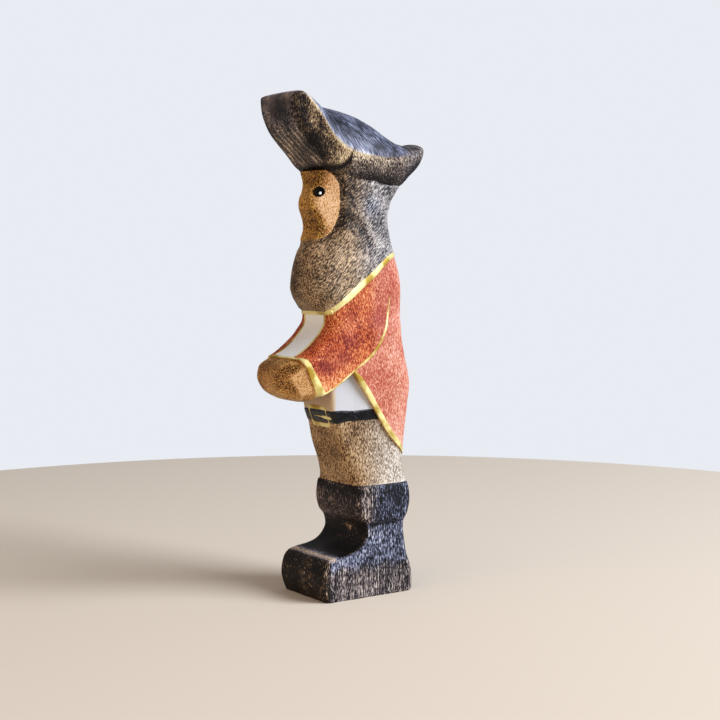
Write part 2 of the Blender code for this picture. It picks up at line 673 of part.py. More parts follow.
# Gold lines: collar, cuffs, coat hem, the arms' outlines and both edges of the chest strip
film("collar_trim", GOLD_PAINT,
     strip([collar_front, *collar, collar_back], COLLAR_TRIM_WIDTH / 2, COLLAR_TRIM_WIDTH / 2),
     paint_face, paint_floor)
cuff_line = [along(cuff_foot, cuff_head, -CUFF_TRIM_OVERRUN), cuff_foot, cuff_head]
film("cuff_trim", GOLD_PAINT, strip(cuff_line, 0.0, CUFF_TRIM_WIDTH), paint_face, paint_floor)
hem_line = [along(elbow, hem[1], HEM_TRIM_START), *hem[1:]]
film("hem_trim", GOLD_PAINT, strip(hem_line, HEM_TRIM_WIDTH, 0.0), paint_face, paint_floor)
arm_line = [*under_arm[-3::-1], *sleeve_back[1:]]
trim_top = THROAT_LEVEL - COLLAR_TRIM_WIDTH / 2 - SEAM
trim_foot = offset_line(cuff_line, -CUFF_TRIM_WIDTH - SEAM)[1:]
chest_slope = [
    *trim_foot, (-BEYOND, trim_top), (-THROAT_REACH / 2, trim_top), (-THROAT_REACH / 2, trim_foot[0][1]),
]
for side, name in ((1, "left"), (-1, "right")):
    film(name + "_sleeve_trim", GOLD_PAINT, strip(arm_line, SLEEVE_TRIM_WIDTH, 0.0),
         paint_face, paint_floor, 0.0, side * BEYOND)
    film(name + "_chest_trim", GOLD_PAINT, chest_slope, paint_face, paint_floor,
         side * (CHEST_STRIP_HALF - CHEST_TRIM_WIDTH / 2), side * (CHEST_STRIP_HALF + CHEST_TRIM_WIDTH / 2))

# Black belt in front of the coat tails, and its gold outline buckle with a bar for the prong
belt_hem = offset_line(hem, -SEAM)
belt_ends = [parted(belt_hem, 1, level)[1] for level in (BELT_LEVEL, WAIST_LEVEL)]
film("belt", BLACK_PAINT, [(-BEYOND, BELT_LEVEL), *belt_ends, (-BEYOND, WAIST_LEVEL)], belt_face, belt_floor)


def front_patch(name, low, high, half, group):
    """A block in front of the waist, between two levels and two sides of the buckle's middle."""
    outline = [(-BEYOND, low), (-WAIST_REACH / 2, low), (-WAIST_REACH / 2, high), (-BEYOND, high)]
    return plate(name, outline, BUCKLE_OFFSET - half, BUCKLE_OFFSET + half, group)


buckle = front_patch("belt_buckle", waist_seam - BUCKLE_HEIGHT / 2, waist_seam + BUCKLE_HEIGHT / 2,
                     BUCKLE_WIDTH / 2, PARTS)
cut(buckle, buckle_face, "INTERSECT")
cut(buckle, buckle_floor, "DIFFERENCE")
for side, name in ((1, "upper"), (-1, "lower")):
    near = waist_seam + side * BUCKLE_BAR / 2
    far = waist_seam + side * (BUCKLE_HEIGHT / 2 - BUCKLE_BAR)
    window = front_patch(name + "_window", min(near, far), max(near, far),
                         BUCKLE_WIDTH / 2 - BUCKLE_BAR, CUTTERS)
    cut(buckle, window, "DIFFERENCE")
buckle.data.materials.append(finish("belt_buckle_paint", GOLD_PAINT))

# Eyes: round dots of black paint that look along the curve of the face
eye_level = np.array([THROAT_LEVEL + EYE_RISE])
brow = float(outline_at(FRONT_OF_LEGS + FRONT_OF_CHEST + FRONT_OF_HEAD, eye_level)[0])
cheek = float(outline_at(SIDE_OF_BOOTS + SIDE_OF_WAIST + SIDE_OF_HEAD, eye_level)[0])
curve = min(float(outline_at(FRONT_CORNERS, eye_level)[0]), cheek)
turn = math.asin((EYE_SPACING / 2 - cheek + curve) / curve)
for side, name in ((1, "left_eye"), (-1, "right_eye")):
    bpy.ops.mesh.primitive_cylinder_add(
        vertices=EYE_SIDES, radius=EYE_DIAMETER / 2, depth=curve,
        location=(side * EYE_SPACING / 2, curve - brow - curve * math.cos(turn), float(eye_level[0])),
        rotation=(math.pi / 2, 0.0, side * turn))
    eye = bpy.context.object
    eye.name = name
    for group in list(eye.users_collection):
        group.objects.unlink(eye)
    PARTS.objects.link(eye)
    cut(eye, paint_face, "INTERSECT")
    cut(eye, paint_floor, "DIFFERENCE")
    eye.data.materials.append(finish(name + "_paint", BLACK_PAINT))
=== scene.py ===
"""Looks of a wooden toy pirate: one sawn board, carved round, stained, and lined with gold paint.

Surfaces are worked out in millimetres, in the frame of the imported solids, and put into meshes in metres.
"""
import math

import bpy
import numpy as np
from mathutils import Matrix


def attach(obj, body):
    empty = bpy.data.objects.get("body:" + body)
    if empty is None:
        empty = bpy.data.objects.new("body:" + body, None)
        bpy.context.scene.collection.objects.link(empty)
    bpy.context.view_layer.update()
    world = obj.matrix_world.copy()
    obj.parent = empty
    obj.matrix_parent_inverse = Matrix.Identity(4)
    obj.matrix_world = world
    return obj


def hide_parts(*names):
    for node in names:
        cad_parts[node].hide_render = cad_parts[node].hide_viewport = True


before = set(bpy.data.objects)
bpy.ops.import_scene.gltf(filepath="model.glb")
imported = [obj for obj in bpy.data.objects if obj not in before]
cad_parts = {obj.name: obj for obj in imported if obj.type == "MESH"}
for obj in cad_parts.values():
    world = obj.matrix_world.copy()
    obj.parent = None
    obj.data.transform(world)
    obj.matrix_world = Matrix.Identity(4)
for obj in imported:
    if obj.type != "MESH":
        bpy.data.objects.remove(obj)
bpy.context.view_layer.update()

# Camera, floor and light: a long lens at the photograph's place and a plain pale floor under soft
# daylight, from a tall cool window behind the figure's left shoulder and a weaker one in front.
MM = 0.001
FRAME_PIXELS = 720
FOCAL_PIXELS = 1397.7
SENSOR_WIDTH = 36.0
CAMERA_PLACE = (319.4, -217.4, 92.2)
CAMERA_TURN = 55.27
CAMERA_DIP = 4.11
CAMERA_NEAR = 10.0
SKY_LIGHT = 0.32
SKY_SEEN = 0.95
FLOOR_RADIUS = 270.0
FLOOR_POINTS = 128


def linear(code):
    """Linear RGBA of an sRGB hex value: a straight line near black and a power of 2.4 above it."""
    parts = np.array([int(code[i:i + 2], 16) for i in (1, 3, 5)]) / 255
    levels = np.where(parts <= 0.04045, parts / 12.92, ((parts + 0.055) / 1.055) ** 2.4)
    return (*levels.tolist(), 1.0)


def add(tree, kind, sockets, result=0, **settings):
    """Adds a node with its settings, sets or links its sockets, and returns one of its outputs."""
    node = tree.nodes.new(kind)
    for name, value in settings.items():
        setattr(node, name, value)
    for socket, value in sockets.items():
        if isinstance(value, bpy.types.NodeSocket):
            tree.links.new(value, node.inputs[socket])
        else:
            node.inputs[socket].default_value = value
    return node.outputs[result]


def lamp(name, place, aim, size, power, colour):
    """A square soft light that stands at a place and shines at a point."""
    light = bpy.data.lights.new(name, "AREA")
    light.size = size * MM
    light.energy = power
    light.color = linear(colour)[:3]
    body = bpy.data.objects.new(name, light)
    across = np.array(aim) - np.array(place)
    flat = math.hypot(across[0], across[1])
    body.location = tuple(np.array(place) * MM)
    body.rotation_euler = (math.atan2(flat, -across[2]), 0.0, math.atan2(-across[0], across[1]))
    bpy.context.scene.collection.objects.link(body)


camera = bpy.data.objects.new("camera", bpy.data.cameras.new("camera"))
camera.data.sensor_width = SENSOR_WIDTH
camera.data.lens = SENSOR_WIDTH * FOCAL_PIXELS / FRAME_PIXELS
camera.data.clip_start = CAMERA_NEAR * MM
camera.location = tuple(np.array(CAMERA_PLACE) * MM)
camera.rotation_euler = (math.radians(90 - CAMERA_DIP), 0.0, math.radians(CAMERA_TURN))
bpy.context.scene.collection.objects.link(camera)
bpy.context.scene.camera = camera
bpy.context.scene.view_settings.view_transform = "Standard"

lamp("window", place=(690, 520, 560), aim=(0, 0, 70), size=620, power=16.5, colour="#e9f0ff")
lamp("room_fill", place=(200, -750, 260), aim=(0, 0, 60), size=700, power=2.3, colour="#ffcd9a")
sky = bpy.data.worlds.new("studio")
sky.use_nodes = True
sky_shader = sky.node_tree.nodes["Background"]
seen = add(sky.node_tree, "ShaderNodeLightPath", {}, "Is Camera Ray")
brightness = {"Value": seen, "To Min": SKY_LIGHT, "To Max": SKY_SEEN}
brightness = add(sky.node_tree, "ShaderNodeMapRange", brightness)
sky.node_tree.links.new(brightness, sky_shader.inputs["Strength"])
sky_shader.inputs["Color"].default_value = linear("#eef1f8")
bpy.context.scene.world = sky

floor_mesh = bpy.data.meshes.new("floor")
floor_turn = np.linspace(0.0, math.tau, FLOOR_POINTS, endpoint=False)
floor_edge = np.stack([np.cos(floor_turn), np.sin(floor_turn), 0 * floor_turn], axis=-1)
floor_edge *= FLOOR_RADIUS * MM
floor_mesh.from_pydata(floor_edge.tolist(), [], [list(range(len(floor_edge)))])
floor = bpy.data.objects.new("floor", floor_mesh)
bpy.context.scene.collection.objects.link(floor)
# Matt paper: an even pale tone that takes only the soft shadow.
floor_finish = bpy.data.materials.new("pale_paper")
floor_finish.use_nodes = True
floor_shader = floor_finish.node_tree.nodes["Principled BSDF"]
floor_shader.inputs["Base Color"].default_value = linear("#e2d4bf")
floor_shader.inputs["Roughness"].default_value = 0.9
floor_mesh.materials.append(floor_finish)

# Boots: the foot of the board, a square block with a deep scoop sawn out above the toe. The outline of
# the whole figure is drawn here once, because one board is sawn to it and every zone is cut from that.
# Black stain, sanded through in upright streaks on the flat sides and rubbed pale on some edges.

# Rows of level and size: how far the board reaches to the front, to the back and to each side, the radii
# of its front and back corners, and how much further the legs reach sideways at the back.
FRONT = [
    (0.0, 14.0), (0.7, 14.4), (5.5, 15.7), (9.0, 15.1), (11.3, 13.4), (12.0, 11.0), (12.5, 7.2),
    (13.5, 4.2), (15.5, 2.0), (17.4, 1.2), (20.4, 1.9), (22.0, 3.2), (26.5, 4.4), (30.4, 4.4),
    (30.9, 4.1), (35.0, 5.4), (41.0, 7.4), (47.0, 8.7), (52.6, 10.4), (76.0, 11.0), (77.8, 11.3),
    (79.0, 13.3), (81.5, 15.7), (84.9, 16.8), (89.1, 16.5), (94.5, 15.1), (97.2, 13.4), (99.5, 12.3),
    (100.8, 12.1), (102.2, 12.3), (103.8, 12.95), (105.5, 13.9), (107.1, 14.4), (108.3, 14.35),
    (110.2, 13.65), (111.9, 12.9), (113.4, 12.55), (116.7, 12.6),
]
BACK = [
    (0.0, 13.9), (0.7, 14.5), (5.5, 14.4), (12.4, 12.4), (17.4, 12.0), (20.4, 12.4), (22.0, 13.3),
    (26.5, 14.2), (30.4, 14.1), (30.9, 13.8), (35.0, 14.1), (46.1, 15.5), (56.9, 16.8), (65.9, 15.0),
    (72.8, 13.8), (84.9, 14.8), (93.4, 13.6), (98.0, 12.2), (102.6, 11.3), (107.5, 12.3), (110.5, 14.2),
    (113.2, 16.0), (116.7, 16.6),
]
HALF = [
    (0.0, 10.8), (0.7, 11.0), (12.2, 11.0), (19.8, 10.7), (21.0, 11.1), (26.6, 11.3), (30.4, 11.1),
    (30.9, 10.8), (35.0, 9.6), (41.0, 8.3), (51.4, 7.4), (72.5, 7.4), (77.8, 9.1), (84.9, 8.8),
    (98.0, 8.2), (107.5, 8.2), (116.7, 8.8),
]
FRONT_CORNER = [
    (0.0, 1.0), (18.4, 1.2), (26.6, 2.2), (35.0, 4.0), (46.0, 1.3), (60.0, 1.0), (76.0, 2.6),
    (81.3, 7.4), (99.0, 8.0),
]
BACK_CORNER = [(0.0, 1.2), (18.4, 1.8), (26.6, 2.6), (35.0, 5.1), (46.1, 6.0), (75.2, 6.0), (93.7, 8.0)]
FLARE = [(31.0, 0.0), (40.0, 0.5), (50.0, 1.1), (60.0, 1.1), (68.0, 0.0)]
FLARE_REACH = 9.0
LEAST_FLAT = 0.5
WAVE_DEPTH = 0.04
WAVES = ((0.62, 0.31, 0.0), (-0.71, 0.43, 1.3))
BOOT_TOP = 20.4
BOOT_STREAK = 1.5
# Where the finish changes: from where to where it fades in, or the middle and reach of a spot. The
# values of this kind in later sections are read in the same way.
TOE_FACE = (-12.6, -13.6)
CREST = (-12.0, 1.1)
CREST_FOOT = (10.6, 11.6)
SCOOP_FLOOR = (11.4, 12.6)
SCOOP_BACK = (3.0, 1.0)
SCOOP_FRONT = (-10.8, -9.0)
SCOOP_SIDE = (10.9, 10.0)
RUBBED = ((2.0, 3.0), (18.3, 1.2))
RUBBED_FACE = (1.0, -1.0)
SOLE_TOP = (10.2, 7.2)
SOLE_WAVE = (0.5, 0.9)
# How finely surfaces are divided, and how their bends are told apart.
SURFACE_STEP = 0.4
LEVEL_TRIES = 4000
LEAST_LEVELS = 8
SIDE_POINTS = 60
FLAT_POINTS = 16
SLOPE_STEP = 0.05
SQUARE_TURN = 0.6
LEAST_REACH = 0.1
SHARP_ANGLE = math.radians(40)
FLAT_SIDE = (0.85, 0.99)
EDGE_BEND = (0.15, 1.0)
HOLLOW_BEND = (0.05, 0.5)
TOP_WEAR = (0.7, 0.6)
# The stain: sizes of its pattern in millimetres, and how far each cause lays the wood bare. Flecks are
# about twice as coarse as real fibres, so that they show.
FLECK_WIDTH = 0.28
FLECK_LENGTH = 0.75
STREAK_LENGTH = 8.0
MOTTLE_SIZE = 6.5
RING_SPACING = 2.3
RING_WANDER = 4.0
RING_LINE = 0.4
RING_STRETCH = (1.0, 1.0, 0.03)
PITH = (25.0, -25.0, 0.0)
STAIN_STEPS = (0.1, 0.42, 0.68, 1.0)
STREAK_GAIN = 3.2
STREAK_START = -1.05
PATCH_SHIELD = -0.5
# How far gathered stain and painted shade darken the wood.
STAIN_AND_SHADE_STEP = -0.35
WAX_SPREAD = 0.15
WAX_SHINE = 0.18
FLECK_RELIEF = (0.3, 0.15)
FINISH = ("worn", "stain_and_shade", "warm", "ringed")


def smooth(rows, at):
    """A curve through rows of place and size that never overshoots them, at some places.

    A cubic on each stretch, whose slope at a row is the harmonic mean of its neighbours' slopes, or
    zero where the curve turns.
    """
    x, y = np.array(rows, dtype=float).T
    run = np.diff(x)
    rise = np.diff(y) / run
    safe = np.where(rise == 0.0, 1.0, rise)
    left = 2 * run[1:] + run[:-1]
    right = run[1:] + 2 * run[:-1]
    mean = (left + right) / (left / safe[:-1] + right / safe[1:])
    slope = np.concatenate([rise[:1], np.where(rise[:-1] * rise[1:] <= 0.0, 0.0, mean), rise[-1:]])
    k = np.clip(np.searchsorted(x, at, side="right") - 1, 0, len(run) - 1)
    t = np.clip((at - x[k]) / run[k], 0.0, 1.0)
    ahead = t * t * (3 - 2 * t)
    bend = t * (1 - t) * run[k]
    return y[k] * (1 - ahead) + y[k + 1] * ahead + bend * ((1 - t) * slope[k] - t * slope[k + 1])


def ramp(low, high, at):
    """A soft step from 0 at low to 1 at high."""
    t = np.clip((at - low) / (high - low), 0.0, 1.0)
    return t * t * (3 - 2 * t)


def spot(*axes):
    """A soft spot, exp(-d ** 2): each axis is a place, a middle and a reach, and d is counted in reaches."""
    return np.exp(-sum(((place - middle) / reach) ** 2 for place, middle, reach in axes))


def steepness(rows, at):
    """How steeply a curve through rows rises at some places: its rise over a short step, by that step."""
    return (smooth(rows, at + SLOPE_STEP) - smooth(rows, at - SLOPE_STEP)) / (2 * SLOPE_STEP)


def averaged(values, axis, times=1):
    """Each value evened out with its neighbours along an axis, some times: (last + 2 own + next) / 4."""
    for _ in range(times):
        values = (np.roll(values, 1, axis) + 2 * values + np.roll(values, -1, axis)) / 4
    return values


def rounding(outline, corner, depth, z):
    """How far a rounded corner draws a side in, at a depth behind an outline.

    The depth is measured square to the outline: the level depth times the cosine of its lean. Within
    one corner radius of the outline the side follows a quarter circle.
    """
    lean = steepness(outline, z)
    inside = np.clip(corner - depth / np.sqrt(1 + lean * lean), 0.0, corner)
    return corner - np.sqrt(corner * corner - inside * inside)


def carved(y, z, half, front=FRONT, front_corner=FRONT_CORNER):
    """The carved side of the board over its side view: x as a function of y and z.

    The half width at that level, less the rounding of the front and back corners, less the shallow
    waves that a knife and sandpaper leave.
    """
    side = smooth(half, z)
    near_front = np.minimum(smooth(front_corner, z), side - LEAST_FLAT)
    near_back = np.minimum(smooth(BACK_CORNER, z), side - LEAST_FLAT)
    waves = WAVE_DEPTH * sum(1 + np.sin(a * y + b * z + c) for a, b, c in WAVES)
    return (side - waves - rounding(front, near_front, y + smooth(front, z), z)
            - rounding(BACK, near_back, smooth(BACK, z) - y, z))


def legs(y, z):
    """The side of the legs and the waist: the board's side, flaring backwards towards the coat."""
    return carved(y, z, HALF) + smooth(FLARE, z) * np.clip((y + FLARE_REACH) / FLARE_REACH, 0.0, 1.0)


def levels(low, high, *outlines):
    """Levels from low to high, evenly spaced along the longest of some outlines."""
    fine = np.linspace(low, high, LEVEL_TRIES)
    moves = [np.abs(np.diff(smooth(outline, fine))) for outline in outlines]
    run = np.concatenate([[0.0], np.cumsum(np.hypot(np.diff(fine), np.max(moves, axis=0)))])
    count = max(int(run[-1] / SURFACE_STEP), LEAST_LEVELS)
    return np.interp(np.linspace(0.0, run[-1], count), run, fine)


def wrapped(x, y, z, over):
    """Rows of points laid on the board: on its left side, its right side and the flats between.

    Each row runs from front to back on the left side and the right side mirrors it. The flat between
    them is crossed at the front, at the back, or at both, which closes the row.
    """
    left = np.stack([x, y, z], axis=-1)
    right = left[:, ::-1] * (-1, 1, 1)
    across = np.linspace(-1, 1, FLAT_POINTS + 2)[None, 1:-1, None] * np.array([1, 0, 0])
    front = left[:, :1] * (0, 1, 1) + across * x[:, :1, None]
    back = left[:, -1:] * (0, 1, 1) - across * x[:, -1:, None]
    order = {"front": [right, front, left], "back": [left, back, right], "both": [front, left, back, right]}
    return np.concatenate(order[over], axis=1)


def side_rows(z, front_edge, back_edge):
    """Places along one side of the board, in a row from a front edge to a back edge at each level.

    Along a row, y goes from edge to edge by (1 - cos) / 2, so points crowd where corners turn.
    """
    share = (1 - np.cos(np.linspace(0, math.pi, SIDE_POINTS))) / 2
    y = front_edge[:, None] + share * (back_edge - front_edge)[:, None]
    return y, np.broadcast_to(z[:, None], y.shape)


def zone(z, front_edge, back_edge, side, limit=math.inf):
    """Closed rings around the part of the board between a front edge and a back edge at each level."""
    y, z = side_rows(z, front_edge, back_edge)
    return wrapped(np.minimum(side(y, z), limit), y, z, "both")


def step_along(grid, axis, closed):
    """Steps from each point of a grid to the next and the last one along an axis."""
    ahead, behind = np.roll(grid, -1, axis) - grid, np.roll(grid, 1, axis) - grid
    if not closed:
        ends = [slice(None)] * 3
        ends[axis] = -1
        ahead[tuple(ends)] = -behind[tuple(ends)]
        ends[axis] = 0
        behind[tuple(ends)] = -ahead[tuple(ends)]
    return ahead, behind


def unit(vectors):
    """Vectors scaled to length one."""
    return vectors / np.maximum(np.linalg.norm(vectors, axis=-1, keepdims=True), 1e-9)


def ring_normals(grid, loop):
    """Unit normals of a grid whose rows are rings: the cross product of its two mean steps."""
    rows_ahead, rows_behind = step_along(grid, 0, loop)
    ring_ahead, ring_behind = step_along(grid, 1, True)
    return unit(np.cross(unit(ring_ahead) - unit(ring_behind), unit(rows_ahead) - unit(rows_behind)))


def ridge(grid, normals, loop):
    """How sharply a surface bends outwards, per millimetre: positive on edges, negative in hollows.

    A border between two zones turns square at a single point, so it is left out.
    """
    bend = np.zeros(grid.shape[:2])
    for axis, closed in ((0, loop), (1, True)):
        ahead, behind = step_along(grid, axis, closed)
        reach = np.linalg.norm(ahead, axis=-1) + np.linalg.norm(behind, axis=-1)
        turn = np.sum((unit(ahead) + unit(behind)) * normals, axis=-1)
        straight = -np.sum(unit(ahead) * unit(behind), axis=-1)
        bend -= np.where(straight > SQUARE_TURN, 2 * turn / np.maximum(reach, LEAST_REACH), 0.0)
    for axis in (0, 1, 0, 1):
        bend = averaged(bend, axis)
    return bend


def combed(grid, lean, stretch):
    """Places in the fleck pattern for fibres that lean back: turned by the lean, and drawn out along it."""
    x, y, z = np.moveaxis(grid, -1, 0)
    across = y * math.cos(lean) - z * math.sin(lean)
    along = y * math.sin(lean) + z * math.cos(lean)
    return np.stack([x, across, along / stretch], axis=-1)


def solid(name, grid, material, loop=False, sanded=0.0, edges=0.6, worn=0.0, stain_and_shade=0.0, warm=0.0,
          ringed=0.0, fibre=None):
    """A closed body from a grid of rings, whose first and last ring are joined or covered by fans.

    Its points carry the finish as attributes. worn says how far the stain is rubbed off in streaks, on
    edges, more where they face up, and, if sanded, on flat sides. soaked darkens: it says where stain has
    gathered, in hollows, and where shade is painted, as in grooves and under overhangs; below zero it
    lightens, where stain is wiped off and where light and highlights are painted. warm picks the warmer
    of two colourings, painted warm shade against the cooler, window-lit one, and ringed says where
    growth rings show. fibre is the place in the fleck pattern, which is the point itself unless it is
    combed.
    """
    rows, columns = grid.shape[:2]
    ring = np.arange(rows * columns).reshape(rows, columns)
    low = ring if loop else ring[:-1]
    high = np.roll(ring, -1, axis=0) if loop else ring[1:]
    faces = [np.stack([low, np.roll(low, -1, 1), np.roll(high, -1, 1), high], axis=-1).reshape(-1, 4)]
    points = grid.reshape(-1, 3)
    corners = points[faces[0]]
    flux = np.cross(corners[:, 2] - corners[:, 0], corners[:, 3] - corners[:, 1])
    outward = np.sign(np.sum(flux * (corners.mean(axis=1) - points.mean(axis=0))))
    normals = ring_normals(grid, loop) * outward
    bend = ridge(grid, normals, loop)
    upward = np.clip(TOP_WEAR[0] + TOP_WEAR[1] * normals[..., 2], 0.0, 1.0)
    worn = worn + sanded * ramp(*FLAT_SIDE, np.abs(normals[..., 0]))
    worn = worn + edges * ramp(*EDGE_BEND, bend) * upward
    stain_and_shade = stain_and_shade + ramp(*HOLLOW_BEND, -bend)
    finish = (np.clip(worn, 0.0, 1.0), np.clip(stain_and_shade, -1.0, 1.0), np.clip(warm, 0.0, 1.0), ringed)
    finish = [np.broadcast_to(value, ring.shape)[..., None] for value in finish]
    table = np.concatenate([grid, grid if fibre is None else fibre, *finish], axis=-1)
    points = table.reshape(rows * columns, -1)
    if not loop:
        for end, turn in ((0, -1), (-1, 1)):
            hub = np.full(columns, len(points))
            points = np.vstack([points, table[end].mean(axis=0)])
            faces.append(np.stack([hub, ring[end], np.roll(ring[end], -1)][::turn], axis=-1))
    if outward < 0:
        faces = [face[:, ::-1] for face in faces]
    mesh = bpy.data.meshes.new(name)
    polygons = [polygon for face in faces for polygon in face.tolist()]
    mesh.from_pydata((points[:, :3] * MM).tolist(), [], polygons)
    attribute = mesh.attributes.new("fibre", "FLOAT_VECTOR", "POINT")
    attribute.data.foreach_set("vector", points[:, 3:6].ravel())
    for finish_name, value in zip(FINISH, points[:, 6:].T):
        attribute = mesh.attributes.new(finish_name, "FLOAT", "POINT")
        attribute.data.foreach_set("value", value.copy())
    mesh.shade_smooth()
    mesh.set_sharp_from_angle(angle=SHARP_ANGLE)
    mesh.materials.append(material)
    piece = bpy.data.objects.new(name, mesh)
    bpy.context.scene.collection.objects.link(piece)
    return piece


def fit(piece, node):
    """The piece moves with the figure and stands for a solid, whose own mesh is hidden."""
    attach(piece, "root")
    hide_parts(node)


def blank(name):
    """A new material, its nodes, and the place of each point of the object in millimetres."""
    material = bpy.data.materials.new(name)
    material.use_nodes = True
    place = add(material.node_tree, "ShaderNodeTexCoord", {}, "Object")
    place = add(material.node_tree, "ShaderNodeVectorMath", {0: place, "Scale": 1 / MM}, operation="SCALE")
    return material, material.node_tree, place


def surface(tree, colour, marks, rough, strength, depth, shine):
    """Gives a shader its colour and shine, and a roughness and relief that follow the marks in it.

    The roughness goes from one value to another as the marks rise, and their depth is in millimetres.
    """
    rough = add(tree, "ShaderNodeMapRange", {"Value": marks, "To Min": rough[0], "To Max": rough[1]})
    relief = add(tree, "ShaderNodeBump", {"Height": marks, "Strength": strength, "Distance": depth * MM})
    shader = tree.nodes["Principled BSDF"]
    for socket, value in (("Base Color", colour), ("Roughness", rough), ("Normal", relief)):
        tree.links.new(value, shader.inputs[socket])
    shader.inputs["Specular IOR Level"].default_value = shine
    return shader


def stained_wood(name, cool, warm, fleck, mottle, gloss):
    """Close-grained hardwood under a wiped-on stain and wax.

    One value says how bare the wood is at a place. Broad patches and short flecks along the fibres vary
    it, worn places raise it in long streaks, and a darkening value lowers it where stain has gathered
    and where shade is painted, and, below zero, raises it where light is painted. Two sets of four
    colours follow it, from darkest to bare, one cooler and one warmer: the cooler set paints the wood
    where the cool window light falls, the warmer set the wood in warm shade. Growth rings round a pith
    beside the board show as thin pale lines where they are wanted.
    """
    material, tree, place = blank(name)
    fibre = add(tree, "ShaderNodeAttribute", {}, "Vector", attribute_name="fibre")
    grain = []
    for length, detail, rough in ((FLECK_LENGTH, 3.0, 0.65), (STREAK_LENGTH, 2.0, 0.6)):
        scale = (1 / FLECK_WIDTH, 1 / FLECK_WIDTH, 1 / length)
        along = add(tree, "ShaderNodeVectorMath", {0: fibre, 1: scale}, operation="MULTIPLY")
        noise = {"Vector": along, "Scale": 1.0, "Detail": detail, "Roughness": rough}
        grain.append(add(tree, "ShaderNodeTexNoise", noise))
    flecks, streaks = grain
    noise = {"Vector": place, "Scale": 1 / MOTTLE_SIZE, "Detail": 4.0, "Roughness": 0.6}
    patches = add(tree, "ShaderNodeTexNoise", noise)
    from_pith = add(tree, "ShaderNodeVectorMath", {0: place, 1: PITH}, operation="SUBTRACT")
    from_pith = add(tree, "ShaderNodeVectorMath", {0: from_pith, 1: RING_STRETCH}, operation="MULTIPLY")
    radius = add(tree, "ShaderNodeVectorMath", {0: from_pith}, "Value", operation="LENGTH")
    radius = add(tree, "ShaderNodeMath", {0: patches, 1: RING_WANDER, 2: radius}, operation="MULTIPLY_ADD")
    turn = add(tree, "ShaderNodeMath", {0: radius, 1: math.tau / RING_SPACING}, operation="MULTIPLY")
    wave = add(tree, "ShaderNodeMath", {0: turn}, operation="SINE")
    lines = add(tree, "ShaderNodeMapRange", {"Value": wave, "From Min": RING_LINE, "From Max": 1.0})
    worn, stain_and_shade, warmth, ringed = (add(tree, "ShaderNodeAttribute", {}, "Fac", attribute_name=attribute)
                                    for attribute in FINISH)
    lines = add(tree, "ShaderNodeMath", {0: lines, 1: ringed}, operation="MULTIPLY")
    lines = add(tree, "ShaderNodeMath", {0: lines, 1: patches}, operation="MULTIPLY")

    bare = STAIN_STEPS[1] - 0.5 * mottle - 0.5 * fleck
    rubbed = STREAK_START
    for cause, weight in ((patches, PATCH_SHIELD), (streaks, STREAK_GAIN)):
        rubbed = add(tree, "ShaderNodeMath", {0: cause, 1: weight, 2: rubbed}, operation="MULTIPLY_ADD")
    causes = ((patches, mottle), (flecks, fleck), (lines, 1.0), (worn, rubbed), (stain_and_shade, STAIN_AND_SHADE_STEP))
    for cause, weight in causes:
        bare = add(tree, "ShaderNodeMath", {0: cause, 1: weight, 2: bare}, operation="MULTIPLY_ADD")
    colours = []
    for codes in (cool, warm):
        colour = add(tree, "ShaderNodeValToRGB", {"Fac": bare}, "Color")
        stops = colour.node.color_ramp.elements
        stops.new(STAIN_STEPS[1])
        stops.new(STAIN_STEPS[2])
        for stop, step, code in zip(stops, STAIN_STEPS, codes):
            stop.position = step
            stop.color = linear(code)
        colours.append(colour)
    colour = add(tree, "ShaderNodeMix", {0: warmth, 6: colours[0], 7: colours[1]}, 2, data_type="RGBA")
    surface(tree, colour, flecks, (gloss - WAX_SPREAD, gloss + WAX_SPREAD), *FLECK_RELIEF, WAX_SHINE)
    return material


# Black stain: near black where it has sunk in, ash grey where fibres are rubbed bare, a dull wax shine.
# Its blue-black colours are painted sheen of the cool window light, its brown ones painted warm shade.
boot_stain = stained_wood("black_stained_lime", ("#030304", "#14161f", "#6d748e", "#ccced8"),
                          ("#040302", "#191210", "#786350", "#d6bd9f"), fleck=2.8, mottle=1.0, gloss=0.55)
boot_levels = levels(0.0, BOOT_TOP, FRONT, BACK, HALF)
boot_grid = zone(boot_levels, -smooth(FRONT, boot_levels), smooth(BACK, boot_levels), legs)
boot_x, boot_y, boot_z = np.moveaxis(boot_grid, -1, 0)
on_front = ramp(*TOE_FACE, boot_y)
crest = spot((boot_y, *CREST)) * ramp(*CREST_FOOT, boot_z)
scoop_shade = ramp(*SCOOP_FLOOR, boot_z) * ramp(*SCOOP_BACK, boot_y) * ramp(*SCOOP_FRONT, boot_y)
scoop_shade *= ramp(*SCOOP_SIDE, np.abs(boot_x))
rubbed_spot = spot((boot_x, *RUBBED[0]), (boot_z, *RUBBED[1])) * ramp(*RUBBED_FACE, boot_y)
sole_side = ramp(*SOLE_TOP, boot_z + SOLE_WAVE[0] * np.sin(SOLE_WAVE[1] * boot_y)) * (1 - on_front)
# Painted shade darkens the scoop. The front, the crest, the scoop and the low sides take the warm colours,
# the rest the cool, blue ones: painted warm shade and window sheen.
boots = solid("boots", boot_grid, boot_stain, sanded=0.5, edges=0.9,
              worn=0.05 * sole_side - 0.25 * (1 - sole_side) + 0.9 * crest,
              stain_and_shade=scoop_shade + 0.6 * on_front + 0.5 * sole_side - 0.8 * crest - 1.6 * rubbed_spot,
              warm=np.maximum(np.maximum(0.65 * sole_side, on_front), np.maximum(crest, scoop_shade)),
              fibre=combed(boot_grid, 0.0, BOOT_STREAK))
fit(boots, "boots")

# Boot cuffs: the turned-over tops of the boots, a swelling band above a groove cut round the ankles.
# The same black stain, sanded pale in streaks towards the front corners.
KNEE = 30.8
CUFF_CORNER = (4.0, -1.0)
CORNER_SPOT = ((-4.2, 2.2), (29.6, 1.3))
CUFF_SIDE = (0.0, 6.0)
CUFF_REAR = (10.0, 12.0)

